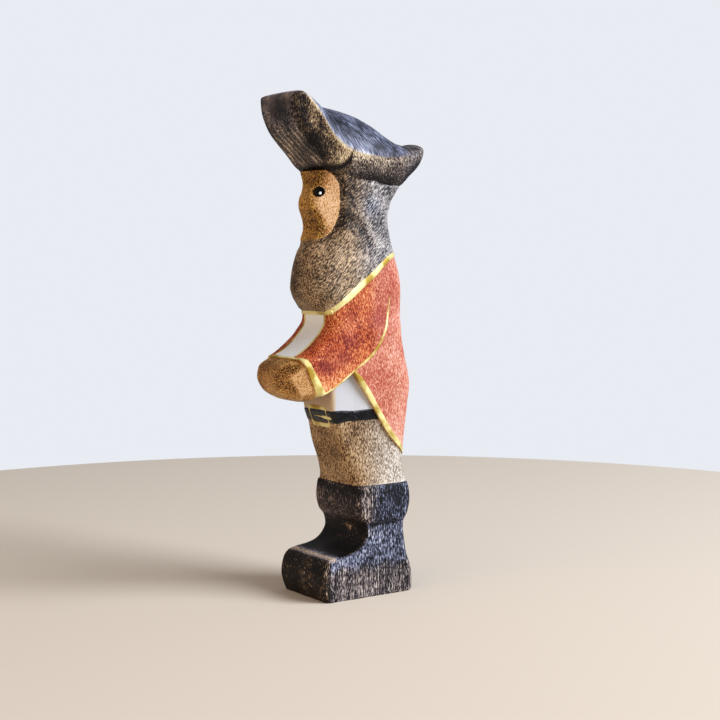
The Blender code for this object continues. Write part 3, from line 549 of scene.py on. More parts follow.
cuff_levels = levels(BOOT_TOP, KNEE, FRONT, BACK, HALF)
cuff_grid = zone(cuff_levels, -smooth(FRONT, cuff_levels), smooth(BACK, cuff_levels), legs)
cuff_y, cuff_z = cuff_grid[..., 1], cuff_grid[..., 2]
cuff_corner = ramp(*CUFF_CORNER, cuff_y)
corner_spot = spot((cuff_y, *CORNER_SPOT[0]), (cuff_z, *CORNER_SPOT[1]))
cuff_worn = 0.35 * ramp(*CUFF_REAR, cuff_y) - 0.45 * ramp(*CUFF_SIDE, cuff_y) - 0.5 * corner_spot
# The front takes the warm colours and the back the cool, blue ones: painted warm shade and window sheen.
boot_cuffs = solid("boot_cuffs", cuff_grid, boot_stain, sanded=0.55, edges=0.8, worn=cuff_worn,
                   stain_and_shade=0.22 + 0.1 * (1 - cuff_corner) + 0.6 * corner_spot, warm=0.75 * cuff_corner,
                   fibre=combed(cuff_grid, 0.0, BOOT_STREAK))
fit(boot_cuffs, "boot_cuffs")

# Breeches: the legs between the boot cuffs and the belt, left as one block and cut off behind by the
# coat's hem. A thin tan stain, painted grey towards the back, where the cool window light falls, and
# warmer in front, in shade.
ELBOW = (-4.8, 62.1)
HEM = [(17.6, 35.6), (12.1, 39.4), (6.7, 44.9), (2.5, 51.4), ELBOW]
BELT_MIDDLE = 49.9
TUCK = 1.0
SMUDGE = ((-6.8, 1.6), (41.0, 5.0))
WIPED_BACK = (1.0, 8.0)
WIPED_LOW = (43.0, 35.0)
KNEE_EDGE = (31.8, 31.2)
KNEE_BACK = (-6.0, -2.0)
SHIN = (37.0, 32.0)
LEG_FRONT = (-5.0, -8.0)
LEG_WARM = (9.0, -4.0)


def line_at(points, z):
    """Place from front to back, at some levels, of a side-view line drawn upwards through points."""
    return smooth([(level, y) for y, level in points], z)


# Thin tan stain: a matt fleck of brown and pale fibres; its warmer colours in front are painted warm
# shade, its grey ones behind painted cool window light.
breeches_stain = stained_wood("tan_stained_lime", ("#5a4c3c", "#9b8a72", "#cac0b2", "#e0d9ce"),
                              ("#281606", "#805f3d", "#b0926a", "#cdb38a"),
                              fleck=3.2, mottle=1.0, gloss=0.58)
breeches_levels = levels(KNEE, BELT_MIDDLE, FRONT, BACK, HALF)
under_coat = np.minimum(smooth(BACK, breeches_levels), line_at(HEM, breeches_levels) + TUCK)
breeches_grid = zone(breeches_levels, -smooth(FRONT, breeches_levels), under_coat, legs)
leg_y, leg_z = breeches_grid[..., 1], breeches_grid[..., 2]
smudge = spot((leg_y, *SMUDGE[0]), (leg_z, *SMUDGE[1]))
wiped = ramp(*WIPED_BACK, leg_y) * ramp(*WIPED_LOW, leg_z)
wiped += ramp(*KNEE_EDGE, leg_z) * ramp(*KNEE_BACK, leg_y)
# Warmer in front and grey behind: painted warm shade and cool window light.
breeches = solid("breeches", breeches_grid, breeches_stain, worn=0.25 * ramp(*SHIN, leg_z),
                 stain_and_shade=0.15 * smudge - 0.1 * ramp(*LEG_FRONT, leg_y) - 0.3 * wiped,
                 warm=ramp(*LEG_WARM, leg_y))
fit(breeches, "breeches")

# Shirt at the waist: carved in below the arms, with a sharp corner between its front and its side, and
# tucked under the coat's edge. White paint brushed on thinly enough to show some grain.
CUFF_FOOT = (-16.1, 55.5)
ARM_PIT = (-11.0, 58.0)
UNDER_ARM = [CUFF_FOOT, ARM_PIT, ELBOW]
BELLY_FRONT = (-8.6, -9.6)
# Brush marks to the millimetre: about 0.8 mm wide and 2.5 mm long.
BRUSH_MARKS = (1.3, 1.3, 0.4)
BRUSH_SPREAD = (0.15, -0.1)
BRUSH_RELIEF = 0.5


def painted_wood(name, paint, thin, gloss, stroke=0.1, shine=0.5):
    """Acrylic paint brushed over wood: faint upright brush marks, thinner where they are low, and
    turning to the thin colour where warm shade is painted.

    The stroke is how deep the marks stand, in millimetres.
    """
    material, tree, place = blank(name)
    brushed = add(tree, "ShaderNodeVectorMath", {0: place, 1: BRUSH_MARKS}, operation="MULTIPLY")
    marks = add(tree, "ShaderNodeTexNoise", {"Vector": brushed, "Scale": 1.0, "Detail": 4.0})
    low = {"Value": marks, "From Min": 0.65, "From Max": 0.35, "To Max": 0.12}
    low = add(tree, "ShaderNodeMapRange", low)
    warmth = add(tree, "ShaderNodeAttribute", {}, "Fac", attribute_name="warm")
    low = add(tree, "ShaderNodeMath", {0: low, 1: warmth}, operation="ADD", use_clamp=True)
    colour = add(tree, "ShaderNodeMix", {0: low, 6: linear(paint), 7: linear(thin)}, 2, data_type="RGBA")
    rough = [gloss + spread for spread in BRUSH_SPREAD]
    surface(tree, colour, marks, rough, BRUSH_RELIEF, stroke, shine)
    return material


# White acrylic in one thin coat: a soft cool white, painted warmer and darker in front as the warm shade
# under the hands.
white_paint = painted_wood("white_acrylic", "#c1c3c5", "#bda684", gloss=0.5)
waist_levels = levels(BELT_MIDDLE, ELBOW[1], FRONT, HALF)
belly = line_at(UNDER_ARM, waist_levels) - TUCK
belly = np.where(waist_levels < ARM_PIT[1], -smooth(FRONT, waist_levels), belly)
waist_grid = zone(waist_levels, belly, line_at(HEM, waist_levels) + TUCK, legs)
# The front under the hands is painted warm shade.
waist_warm_shade = 0.9 * ramp(*BELLY_FRONT, waist_grid[..., 1])
shirt_waist = solid("shirt_waist", waist_grid, white_paint, warm=waist_warm_shade)
fit(shirt_waist, "shirt_waist")

# Coat: the back and the tails, one smooth piece from the collar to the hem, proud of the shirt and the
# breeches. Red stain with darker patches and a fleck of pale fibres, painted paler towards the back,
# where the window light falls.
COAT_HALF = [row for row in HALF if row[0] < 30.5] + [
    (35.0, 9.9), (44.0, 9.5), (52.0, 9.5), (56.9, 9.9), (64.6, 10.0), (72.5, 10.0),
] + [row for row in HALF if row[0] > 73.0]
COLLAR = [(-11.3, 77.8), (-5.4, 82.3), (1.5, 87.3), (10.3, 93.4), (17.9, 94.2)]
SLEEVE_HEAD = (7.9, 82.0)
SLEEVE = [ELBOW, (2.5, 67.6), (6.2, 74.4), SLEEVE_HEAD]
SHOULDER_TOP = 91.9
COAT_ENDS = (36.9, 93.7)
COAT_BACK = (3.0, 12.0)
SHOULDER_STAIN = (8.0, 3.0)
SHOULDER_RISE = (70.0, 80.0)
LEAST_DEPTH = 0.05


def coat_side(y, z):
    """The side of the coat's back and tails: the board's side on the coat's own half widths."""
    return carved(y, z, COAT_HALF)


# Red stain: brick red in the pores and salmon where fibres stay pale, with a faint wax shine. Its
# cooler, pinker colours are painted window light and sheen, its warmer ones painted warm shade.
red_stain = stained_wood("red_stained_lime", ("#983a2e", "#c27055", "#da9e87", "#e8c3b0"),
                         ("#560a04", "#ad4017", "#d88649", "#eeba88"), fleck=2.5, mottle=0.8, gloss=0.6)
coat_levels = levels(*COAT_ENDS, BACK, COAT_HALF)
coat_edge = np.where(coat_levels < ELBOW[1], line_at(HEM, coat_levels), line_at(SLEEVE, coat_levels))
coat_edge = np.where(coat_levels > SHOULDER_TOP, line_at(COLLAR, coat_levels), coat_edge)
coat_back = smooth(BACK, coat_levels)
coat_grid = zone(coat_levels, np.minimum(coat_edge, coat_back - LEAST_DEPTH), coat_back, coat_side)
coat_y, coat_z = coat_grid[..., 1], coat_grid[..., 2]
# Paler towards the back: painted window light, carried by the wear value.
coat = solid("coat", coat_grid, red_stain, worn=0.3 * ramp(*COAT_BACK, coat_y),
             stain_and_shade=0.35 * spot((coat_y, *SHOULDER_STAIN)) * ramp(*SHOULDER_RISE, coat_z))
fit(coat, "coat")

# Sleeves and the shirt between them: both arms are one wedge that runs from the shoulders to the hands.
# Its top is painted as a white shirt front, and what is left on either side is a red sleeve.
ARM_FRONT = [row for row in FRONT if row[0] < 48.0] + [
    (53.4, 15.6), (54.7, 20.4), (57.2, 23.9), (60.6, 25.2), (63.4, 24.7), (65.8, 22.0), (67.0, 19.5),
    (69.2, 16.2), (72.6, 12.7), (76.0, 11.0), (90.0, 11.0),
]
ARM_CORNER = [(47.5, 2.0), (53.4, 9.0), (54.7, 8.0), (57.2, 6.0), (60.6, 5.0), (69.1, 3.2), (75.2, 4.2)]
CUFF_EDGE = [CUFF_FOOT, (-22.4, 69.9)]
THROAT = 77.8
STRIP_HALF = 4.9
STRIP_LAP = 0.1
BLOTCHES = [(-13.8, 63.3), (-8.5, 65.3), (-5.8, 70.6), (4.5, 76.0)]
BLOTCH_REACH = (2.6, 2.2)
FOREARM = (66.0, 58.0)
UPPER_ARM = (66.0, 72.0)
ARM_WARM = (6.0, 0.0)


def arm_side(y, z):
    """The side of the arms' wedge: the board's side on its own half widths, front and corners."""
    return carved(y, z, COAT_HALF, ARM_FRONT, ARM_CORNER)


arm_levels = levels(CUFF_FOOT[1] + STRIP_LAP, SHOULDER_TOP - LEAST_DEPTH, ARM_FRONT, COAT_HALF)
arm_front = np.maximum(line_at(CUFF_EDGE, arm_levels), -smooth(ARM_FRONT, arm_levels))
arm_front = np.where(arm_levels > THROAT, line_at(COLLAR, arm_levels), arm_front)
arm_back = np.where(arm_levels < ELBOW[1], line_at(UNDER_ARM, arm_levels), line_at(SLEEVE, arm_levels))


def sleeve_rings(side):
    """Closed rings of one sleeve: out from the shirt along the top, back along the side and in again.

    Below the elbow the rings reach in to the middle, so that the underside is red right across.
    """
    y, z = side_rows(arm_levels, arm_front, arm_back)
    x = np.maximum(arm_side(y, z), STRIP_HALF + STRIP_LAP)
    outer = np.stack([x, y, z], axis=-1)
    out = np.linspace(0, 1, FLAT_POINTS)[:-1] * (x[:, :1] - STRIP_HALF) + STRIP_HALF
    inner = np.where(arm_levels < ELBOW[1], 0.0, STRIP_HALF)[:, None]
    back = np.linspace(1, 0, FLAT_POINTS)[1:] * (x[:, -1:] - inner) + inner
    top = np.stack(np.broadcast_arrays(out, y[:, :1], z[:, :1]), axis=-1)
    end = np.stack(np.broadcast_arrays(back, y[:, -1:], z[:, :1]), axis=-1)
    return np.concatenate([top, outer, end], axis=1) * (side, 1, 1)


for side, name in ((1, "left_sleeve"), (-1, "right_sleeve")):
    sleeve_grid = sleeve_rings(side)
    arm_y, arm_z = sleeve_grid[..., 1], sleeve_grid[..., 2]
    blotches = sum(spot((arm_y, y, BLOTCH_REACH[0]), (arm_z, z, BLOTCH_REACH[1])) for y, z in BLOTCHES)
    sleeve_soaked = 0.9 * blotches - 0.75 * ramp(*FOREARM, arm_z) + 0.15 * ramp(*UPPER_ARM, arm_z)
    # The front of each sleeve takes the warm colours, painted warm shade, and the back the cooler, pinker
    # ones, painted window light.
    sleeve = solid(name, sleeve_grid, red_stain, stain_and_shade=sleeve_soaked,
                   warm=0.95 * ramp(*ARM_WARM, arm_y) - 0.4 * blotches)
    fit(sleeve, name)
shirt_back = np.maximum(arm_back - TUCK, arm_front + LEAST_DEPTH)
shirt_back = np.where(arm_levels < ELBOW[1], shirt_back, arm_back)
shirt_grid = zone(arm_levels, arm_front, shirt_back, arm_side, STRIP_HALF)
# The same white acrylic made brighter than at the waist, as painted light on the chest strip that faces
# up: nearly opaque and as soft in its shine.
lit_chest_paint = painted_wood("white_acrylic_chest", "#eff5f5", "#c6c6c0", gloss=0.5)
shirt_front = solid("shirt_front", shirt_grid, lit_chest_paint)
fit(shirt_front, "shirt_front")

# Hands: the rounded end of the wedge, both hands clasped in one block, a little narrower than the cuffs.
# The figure's left hand is cut to a flat facet with a crisp edge, the right one left square. Brown
# stain, painted lighter on the facet, where the window light falls, with a painted highlight along its
# edge.
HAND_HALF = [(53.0, 7.4), (56.0, 8.9), (58.0, 9.2), (63.5, 9.1), (67.0, 8.4)]
LEFT_CORNER = [(53.4, 7.6), (54.7, 6.6), (57.2, 6.0), (60.6, 5.6), (67.0, 4.6)]
RIGHT_CORNER = [(53.4, 6.0), (54.7, 4.6), (57.2, 3.4), (60.6, 2.6), (63.4, 2.8), (67.0, 4.6)]
HAND_TAPER = 0.55
FACET_TIP = (-22.6, 60.9)
FRONT_FOLD = (0.63, 1.0)
TOP_FOLD = (0.94, 0.5)
HAND_LEAN = math.radians(-60)
HAND_STROKE = 0.6
HAND_ENDS = (53.9, 66.3)
CUFF_LAP = 0.5
LEAST_HALF = 1.0
RIGHT_TAPER = 0.05
FACET_FADE = (0.7, 0.05)
FACET_FOOT = (54.8, 56.4)
KNUCKLES = (63.3, 1.4)
KNUCKLE_FRONT = (-18.0, -20.0)
FOLD_WIDTH = 0.4
FOLD_SIDE = (3.0, 5.0)


def past_cuff(y, z):
    """How far in front of the cuffs a place on the hands lies."""
    return np.maximum(line_at(CUFF_EDGE, z) - CUFF_LAP - y, 0.0)


def past_folds(y, z):
    """How far a place on the left hand lies in front of one line and above another.

    Both lines start at the facet's tip, one down and back, one up and back.
    """
    ahead = FACET_TIP[0] + FRONT_FOLD[0] * (FACET_TIP[1] - z) - y
    above = z - FACET_TIP[1] - TOP_FOLD[0] * (y - FACET_TIP[0])
    return ahead, above


def hand_side(y, z):
    """The side of the left hand: a flat that narrows from the cuff, cut back past two lines.

    Past a line the side falls in by its slope, and nowhere does it stand out of the rounded block.
    """
    ahead, above = past_folds(y, z)
    fold = FRONT_FOLD[1] * np.maximum(ahead, 0.0) + TOP_FOLD[1] * np.maximum(above, 0.0)
    facet = smooth(HAND_HALF, z) - HAND_TAPER * past_cuff(y, z) - fold
    return np.maximum(np.minimum(carved(y, z, HAND_HALF, ARM_FRONT, LEFT_CORNER), facet), LEAST_HALF)


def right_hand_side(y, z):
    """The side of the right hand: the board's side with a squarer corner, narrowing a little."""
    return carved(y, z, HAND_HALF, ARM_FRONT, RIGHT_CORNER) - RIGHT_TAPER * past_cuff(y, z)


# Brown stain: warm brown with honey-coloured fibres, painted lighter on the flat facet, where the window
# light falls, with a painted highlight along its edge.
hand_stain = stained_wood("brown_stained_lime", ("#4a2c10", "#c88d50", "#e4b478", "#f0cc9a"),
                          ("#281304", "#a37034", "#cf9e5a", "#e0ba7e"), fleck=3.4, mottle=1.0, gloss=0.52)
hand_levels = levels(*HAND_ENDS, ARM_FRONT, HAND_HALF)
hand_front = -smooth(ARM_FRONT, hand_levels)
hand_back = np.maximum(line_at(CUFF_EDGE, hand_levels), hand_front + LEAST_DEPTH)
left_grid = zone(hand_levels, hand_front, hand_back, hand_side)
right_grid = zone(hand_levels, hand_front, hand_back, right_hand_side)
hand_grid = np.where(left_grid[..., :1] > 0, left_grid, right_grid)
hand_x, hand_y, hand_z = np.moveaxis(hand_grid, -1, 0)
in_facet = smooth(HAND_HALF, hand_z) - HAND_TAPER * past_cuff(hand_y, hand_z) - hand_x
lit_facet = ramp(*FACET_FADE, in_facet) * ramp(*FACET_FOOT, hand_z)
knuckles = spot((hand_z, *KNUCKLES)) * ramp(*KNUCKLE_FRONT, hand_y)
past_fold = np.max(past_folds(hand_y, hand_z), axis=0)
facet_highlight = spot((past_fold, 0.0, FOLD_WIDTH)) * ramp(*FOLD_SIDE, hand_x)
# The facet takes the lighter, cool colours and its edge a pale line: painted light and a painted highlight.
hands = solid("hands", hand_grid, hand_stain, edges=1.0, warm=1 - 0.8 * np.maximum(lit_facet, facet_highlight),
              stain_and_shade=0.45 * knuckles * (1 - lit_facet) - 0.6 * lit_facet - 0.45 * facet_highlight,
              fibre=combed(hand_grid, HAND_LEAN, HAND_STROKE))
fit(hands, "hands")

# Hair and beard: the head's block from the collar to the hat, with a beard that swells over the throat.
# Grey-brown stain, darker round the face, wiped so that pale fibres fleck it.
FACE_EDGE = [
    (-14.6, 97.3), (-11.6, 98.0), (-9.9, 99.2), (-8.7, 101.0), (-7.9, 103.9), (-7.6, 107.6), (-7.75, 111.6),
    (-8.55, 113.8), (-10.4, 116.0),
]
FACE_FLAT = [
    (97.0, 4.4), (99.6, 4.2), (101.9, 4.0), (104.9, 3.3), (107.4, 2.8), (110.0, 2.6), (112.5, 3.4),
    (116.7, 5.0),
]
CHEEK_END = -6.0
CHEEK_SOFT = 0.1
CHEEK_FOOT = (95.0, 98.5)
JAW = [(-10.9, 99.5), (-7.4, 101.8), (-3.2, 102.5), (-1.2, 100.9), (0.5, 98.4), (3.1, 94.7)]
JAW_DEPTH = 0.35
JAW_WIDTH = 1.2
JAW_SHADE = 1.7
JAW_TILT = 0.75
JAW_FRONT = (-12.0, -10.0)
JAW_BACK = (4.5, 1.0)
HAT_SEAT = 113.2
HAIR_LAP = (0.1, 1.6)
NAPE = 93.9
TUCK_SHARE = 0.2
TUCK_RISE = (112.0, 113.2)
TUCK_BACK = (3.0, 9.0)
HAIR_FOOT = (98.0, 102.0)
FACE_SHADE = 2.0
TEMPLE = (-4.2, 2.6)
BLUE_PATCH = ((2.0, 2.2), (106.5, 3.0))
PALE_PATCH = ((-6.0, 4.5), (90.5, 6.0))
BEARD_FRONT = (-11.5, -13.5)
HAIR_WARM = (5.0, -6.0)
STROKE_LEAN = math.radians(45)
STROKE_STRETCH = 1.4


def jaw(y, z, width):
    """How deep in the groove over the beard a place lies: exp(-d ** 2), with d from its line in widths."""
    ends = ramp(*JAW_FRONT, y) * ramp(*JAW_BACK, y)
    return ends * spot((JAW_TILT * (z - smooth(JAW, y)), 0.0, width))


def head(y, z):
    """The side of the head: the board's round side, and above the beard a cheek cut flat on each side.

    The cheek runs straight from the edge of a narrow flat front out to the board's side, with soft
    edges: its draw-in is the share of the way left to go, t, softened as t * t / (t + softness). A
    shallow groove parts the hair from the beard.
    """
    front = smooth(FRONT, z)
    t = np.clip(1 - (y + front) / (front + CHEEK_END), 0.0, 1.0)
    cheek = (smooth(HALF, z) - smooth(FACE_FLAT, z)) * (1 + CHEEK_SOFT) * t * t / (t + CHEEK_SOFT)
    corner = np.minimum(smooth(FRONT_CORNER, z), smooth(HALF, z) - LEAST_FLAT)
    flattened = (rounding(FRONT, corner, y + front, z) - cheek) * ramp(*CHEEK_FOOT, z)
    return carved(y, z, HALF) + flattened - JAW_DEPTH * jaw(y, z, JAW_WIDTH)


# Grey-brown stain: near-black strokes beside pale grey ones, a little wax shine; its cooler colours
# behind are painted cool window light, its warmer ones in front painted warm shade.
hair_stain = stained_wood("grey_brown_stained_lime", ("#121216", "#787c85", "#bbbec2", "#e8e8e6"),
                          ("#140c06", "#7e664c", "#bda17c", "#dec59e"), fleck=3.0, mottle=1.1, gloss=0.55)
hair_levels = levels(THROAT + HAIR_LAP[0], HAT_SEAT + HAIR_LAP[1], FRONT, BACK)
beard_front = -smooth(FRONT, hair_levels)
hair_front = np.maximum(line_at(FACE_EDGE, hair_levels), beard_front)
hair_front = np.where(hair_levels > FACE_EDGE[0][1], hair_front, beard_front)
head_back = smooth(BACK, hair_levels)
hair_back = np.where(hair_levels < NAPE, np.minimum(line_at(COLLAR, hair_levels), head_back), head_back)
hair_grid = zone(hair_levels, hair_front, np.maximum(hair_back, hair_front + LEAST_DEPTH), head)
hair_y, hair_z = hair_grid[..., 1], hair_grid[..., 2]
hair_grid[..., 0] *= 1 - TUCK_SHARE * ramp(*TUCK_RISE, hair_z) * ramp(*TUCK_BACK, hair_y)
by_face = spot((hair_y, line_at(FACE_EDGE, hair_z), FACE_SHADE))
hair_stain_and_shade = ramp(*HAIR_FOOT, hair_z) * (0.42 * by_face + spot((hair_y, *TEMPLE)))
# Painted shade in the groove over the beard; the beard's front is darker too.
hair_stain_and_shade += 0.8 * jaw(hair_y, hair_z, JAW_SHADE) + 0.15 * ramp(*BEARD_FRONT, hair_y)
# A bluish, darker patch: painted reflection of the cool window light.
blue_sheen = spot((hair_y, *BLUE_PATCH[0]), (hair_z, *BLUE_PATCH[1]))
pale_patch = spot((hair_y, *PALE_PATCH[0]), (hair_z, *PALE_PATCH[1]))
hair = solid("hair_and_beard", hair_grid, hair_stain, worn=0.4 * pale_patch,
             stain_and_shade=hair_stain_and_shade + 0.3 * blue_sheen,
             warm=0.35 + 0.65 * ramp(*HAIR_WARM, hair_y) - 0.4 * blue_sheen,
             fibre=combed(hair_grid, STROKE_LEAN, STROKE_STRETCH))
fit(hair, "hair_and_beard")

# Face: the front of the head between beard and hat, cut to a narrow front that stands out between two
# flat cheeks. Orange-brown stain, painted darker on the front, which is in shade, and lighter on the
# cheeks, where the window light falls.
CREASE = [(-11.0, 97.0), (-11.2, 98.9), (-12.2, 103.3), (-13.6, 105.5)]
CREASE_WIDTH = 0.9
CREASE_TOP = (106.4, 104.8)
BROW = (110.8, 112.8)
BROW_FRONT = (-8.6, -11.0)
CHEEK = (1.0, 2.4)
FACE_WARM = (2.4, 0.6)
FACE_STROKE = 0.7
FACE_LAP = 2.8

# Orange stain: light orange-brown cheeks beside a darker golden front, with short flecks of brown; the
# lighter cheek colours are painted light, the darker front painted shade.
face_stain = stained_wood("orange_stained_lime", ("#9c6a34", "#e4b47c", "#f4cfa4", "#f8e0be"),
                          ("#301a04", "#b07c2f", "#d6a95c", "#e6c084"), fleck=2.8, mottle=0.7, gloss=0.52)
face_levels = levels(FACE_EDGE[0][1], HAT_SEAT + FACE_LAP, FRONT)
face_front = -smooth(FRONT, face_levels)
face_back = np.maximum(line_at(FACE_EDGE, face_levels), face_front + LEAST_DEPTH)
face_grid = zone(face_levels, face_front, face_back, head)
face_y, face_z = face_grid[..., 1], face_grid[..., 2]
crease_shade = spot((face_y, line_at(CREASE, face_z), CREASE_WIDTH)) * ramp(*CREASE_TOP, face_z)
brow_shade = ramp(*BROW, face_z) * ramp(*BROW_FRONT, face_y)
from_front = face_y + smooth(FRONT, face_z)
# Painted shade: the crease beside the nose and the brow under the hat's plate are darker, and the cheeks are
# painted lighter.
face = solid("face", face_grid, face_stain, warm=ramp(*FACE_WARM, from_front),
             stain_and_shade=0.45 * crease_shade + 0.6 * brow_shade - 0.25 * ramp(*CHEEK, from_front),
             fibre=combed(face_grid, 0.0, FACE_STROKE))
fit(face, "face")

# Hat: sawn with the board and carved to a turned-up brim: a flat plate leans forward over the face, a
# rim runs back from it to a blunt tip, and a roof-like crown rises between. Black stain, worn to the
# golden wood on the front of the brim, over a lip cut into its side, and pale along the rim from wear and
# a painted highlight. Painted shade darkens the groove under the lip and the low side of the brim, and
# the crown's cool blue-grey is painted sheen of the window light.
HAT_FRONT = 23.0
HAT_REAR = 22.0
HAT_HEIGHT = 23.2
RIM_HALF = 11.3
SEAT_HALF = 9.0
ON_SEAT = -1.0
SEAT_TILT = -1.8
SEAT_CURVE = 5.6
SEAT_BEVEL = [(-0.55, 0.25), (-0.1, 0.04)]
SEAT_FLAT = [(-0.55, 0.85), (-0.1, 0.98)]
ROOF_POINTS = 24
ROOF_POWER = 1.2
# Sections from front to rear: place, underside, rim and crown as shares of the hat's length and height,
# and half widths of the seat and the rim as shares of theirs.
HAT_SECTIONS = [
    (-1.00, 0.80, 0.925, 0.935, 0.82, 0.69),
    (-0.975, 0.715, 0.968, 0.978, 0.93, 0.80),
    (-0.90, 0.56, 0.982, 1.00, 1.00, 0.86),
    (-0.785, 0.43, 0.885, 0.995, 1.03, 0.93),
    (-0.64, 0.285, 0.695, 0.95, 1.03, 0.975),
    (-0.525, 0.155, 0.53, 0.89, 1.00, 0.99),
    (-0.475, 0.115, 0.48, 0.873, 0.985, 1.00),
    (-0.28, ON_SEAT, 0.36, 0.845, 0.98, 1.00),
    (-0.02, ON_SEAT, 0.30, 0.79, 0.98, 0.99),
    (0.23, ON_SEAT, 0.289, 0.69, 0.97, 0.955),
    (0.41, ON_SEAT, 0.298, 0.58, 0.90, 0.91),
    (0.60, ON_SEAT, 0.32, 0.495, 0.72, 0.84),
    (0.81, 0.085, 0.36, 0.465, 0.57, 0.735),
    (0.935, 0.19, 0.40, 0.49, 0.53, 0.65),
    (0.98, 0.25, 0.40, 0.482, 0.475, 0.565),
    (1.00, 0.325, 0.39, 0.44, 0.31, 0.37),
]
HAT_PLACES = 4
HAT_STATIONS = 160
HAT_RING = 150
HAT_SANDING = 10
TIP_SANDING = 50
TIP_ROUND = (8.0, 17.0)
LIP = [(-17.0, 116.4), (-14.5, 116.6), (-10.1, 116.5), (-7.8, 117.2), (-6.4, 118.5), (-5.5, 120.8)]
LIP_DEPTH = 0.4
LIP_WIDTH = 0.6
LIP_FRONT = (-16.5, -14.5)
LIP_REAR = (-4.9, -5.6)
PLATE_EDGE = [
    (117.0, -13.0), (119.2, -13.8), (121.4, -14.7), (125.4, -16.9), (130.1, -18.9), (133.7, -19.6),
]
CROWN_STROKE = 4.0
CROWN_LEAN = 0.6
# Where the finish of the plate, the rim, the lip and the crown changes, also by the way they face,
# which places painted shade and highlights.
FACING_FRONT = (0.2, 0.6)
FACING_SIDE = (0.7, 0.4)
PLATE_CORNER = (6.0, 9.0)
PLATE_RISE = (120.0, 126.0)
PLATE_FOOT = (118.6, 117.0)
PLATE_COOL = (122.0, 128.0)
RING_TOP = (131.0, 124.0)
RIM_FADE = (-0.3, 0.3)
VALLEY = (-1.7, 1.3)
VALLEY_SIDE = (4.0, 6.0)
VALLEY_FOOT = (117.5, 119.5)
SIDE_FRONT = (0.8, -0.6)
LIP_TOP = (0.0, 1.0)
LIP_STOP = (-5.4, -6.4)
LIP_START = (-0.3, 1.2)
LIP_END = ((-8.6, 3.4), (119.2, 2.6))
STAINED = (1.2, 1.8)
STAINED_TOP = (127.0, 123.0)
STAINED_FOOT = (118.2, 120.4)
RIM_EDGE = (0.2, 0.75)
RIM_FACING = (0.15, 0.45)
RIM_REAR = (9.0, -2.0)
RIM_FRONT = (-20.6, -18.8)
RIM_STREAKS = (1.2, 1.8)
BEHIND_LIP = (-6.2, -5.2)
LOW_SIDE = (3.6, 0.6)
CROWN_FOOT = (-1.0, 1.8)
CROWN_FRONT = (6.0, -4.0)
TIP = (11.0, 17.0)


def drawn(rows, count, places=2):
    """Smooth columns through rows of numbers, at even stations along the line that their places draw.

    The first columns are the places, such as those from front to back and the levels.
    """
    known = np.array(rows)
    run = np.concatenate([[0.0], np.cumsum(np.linalg.norm(np.diff(known[:, :places], axis=0), axis=1))])
    at = np.linspace(0.0, run[-1], count)
    return [smooth(np.stack([run, column], axis=1), at) for column in known.T]


def run_along(x, y):
    """How far each point of a row of points lies along the row, from its first point."""
    return np.concatenate([0 * x[..., :1], np.hypot(np.diff(x), np.diff(y)).cumsum(axis=-1)], axis=-1)


def hat_rings():
    """Rings of the hat from front to rear: a flat seat, a flaring side, the rim and the crown's roof.

    Each ring is seat, bevel and rim joined by straight lines and a roof of x = rim cos t and
    z = rim + rise sin(t) ** power, spaced evenly along its length and then sanded by averaging, more
    often at the rear tip.
    """
    rows = np.array(HAT_SECTIONS)
    row_y = rows[:, 0] * np.where(rows[:, 0] > 0.0, HAT_REAR, HAT_FRONT)
    seat = SEAT_TILT * row_y / HAT_FRONT + SEAT_CURVE * (np.minimum(row_y, 0.0) / HAT_FRONT) ** 2
    rows[:, 1] = np.maximum(rows[:, 1], seat / HAT_HEIGHT)
    place, under, rim, crown, seat_half, rim_half = drawn(rows, HAT_STATIONS, HAT_PLACES)
    y = place * np.where(place > 0.0, HAT_REAR, HAT_FRONT)
    low = HAT_SEAT + under * HAT_HEIGHT
    rim_level = HAT_SEAT + rim * HAT_HEIGHT
    bevel = smooth(SEAT_BEVEL, place)
    flat = smooth(SEAT_FLAT, place)
    climb = np.linspace(0.0, math.pi / 2, ROOF_POINTS)
    rise = (crown - rim) * HAT_HEIGHT
    x = [np.zeros_like(y), flat * SEAT_HALF * seat_half, SEAT_HALF * seat_half]
    z = [low, low, low + bevel * (rim_level - low)]
    x = np.column_stack(x + [RIM_HALF * rim_half * math.cos(t) for t in climb])
    z = np.column_stack(z + [rim_level + rise * math.sin(t) ** ROOF_POWER for t in climb])
    length = run_along(x, z)
    even = np.linspace(0.0, 1.0, HAT_RING // 2 + 1)
    x = np.array([np.interp(even * reach[-1], reach, row) for reach, row in zip(length, x)])
    z = np.array([np.interp(even * reach[-1], reach, row) for reach, row in zip(length, z)])
    ring_x = np.concatenate([x, -x[:, -2:0:-1]], axis=1)
    ring_z = np.concatenate([z, z[:, -2:0:-1]], axis=1)
    grid = np.stack([ring_x, np.broadcast_to(y[:, None], ring_x.shape), ring_z], axis=-1)
    grid = averaged(grid, 1, HAT_SANDING)
    rounder = averaged(grid, 1, TIP_SANDING)
    return grid + ramp(*TIP_ROUND, grid[..., 1:2]) * (rounder - grid), rim_level


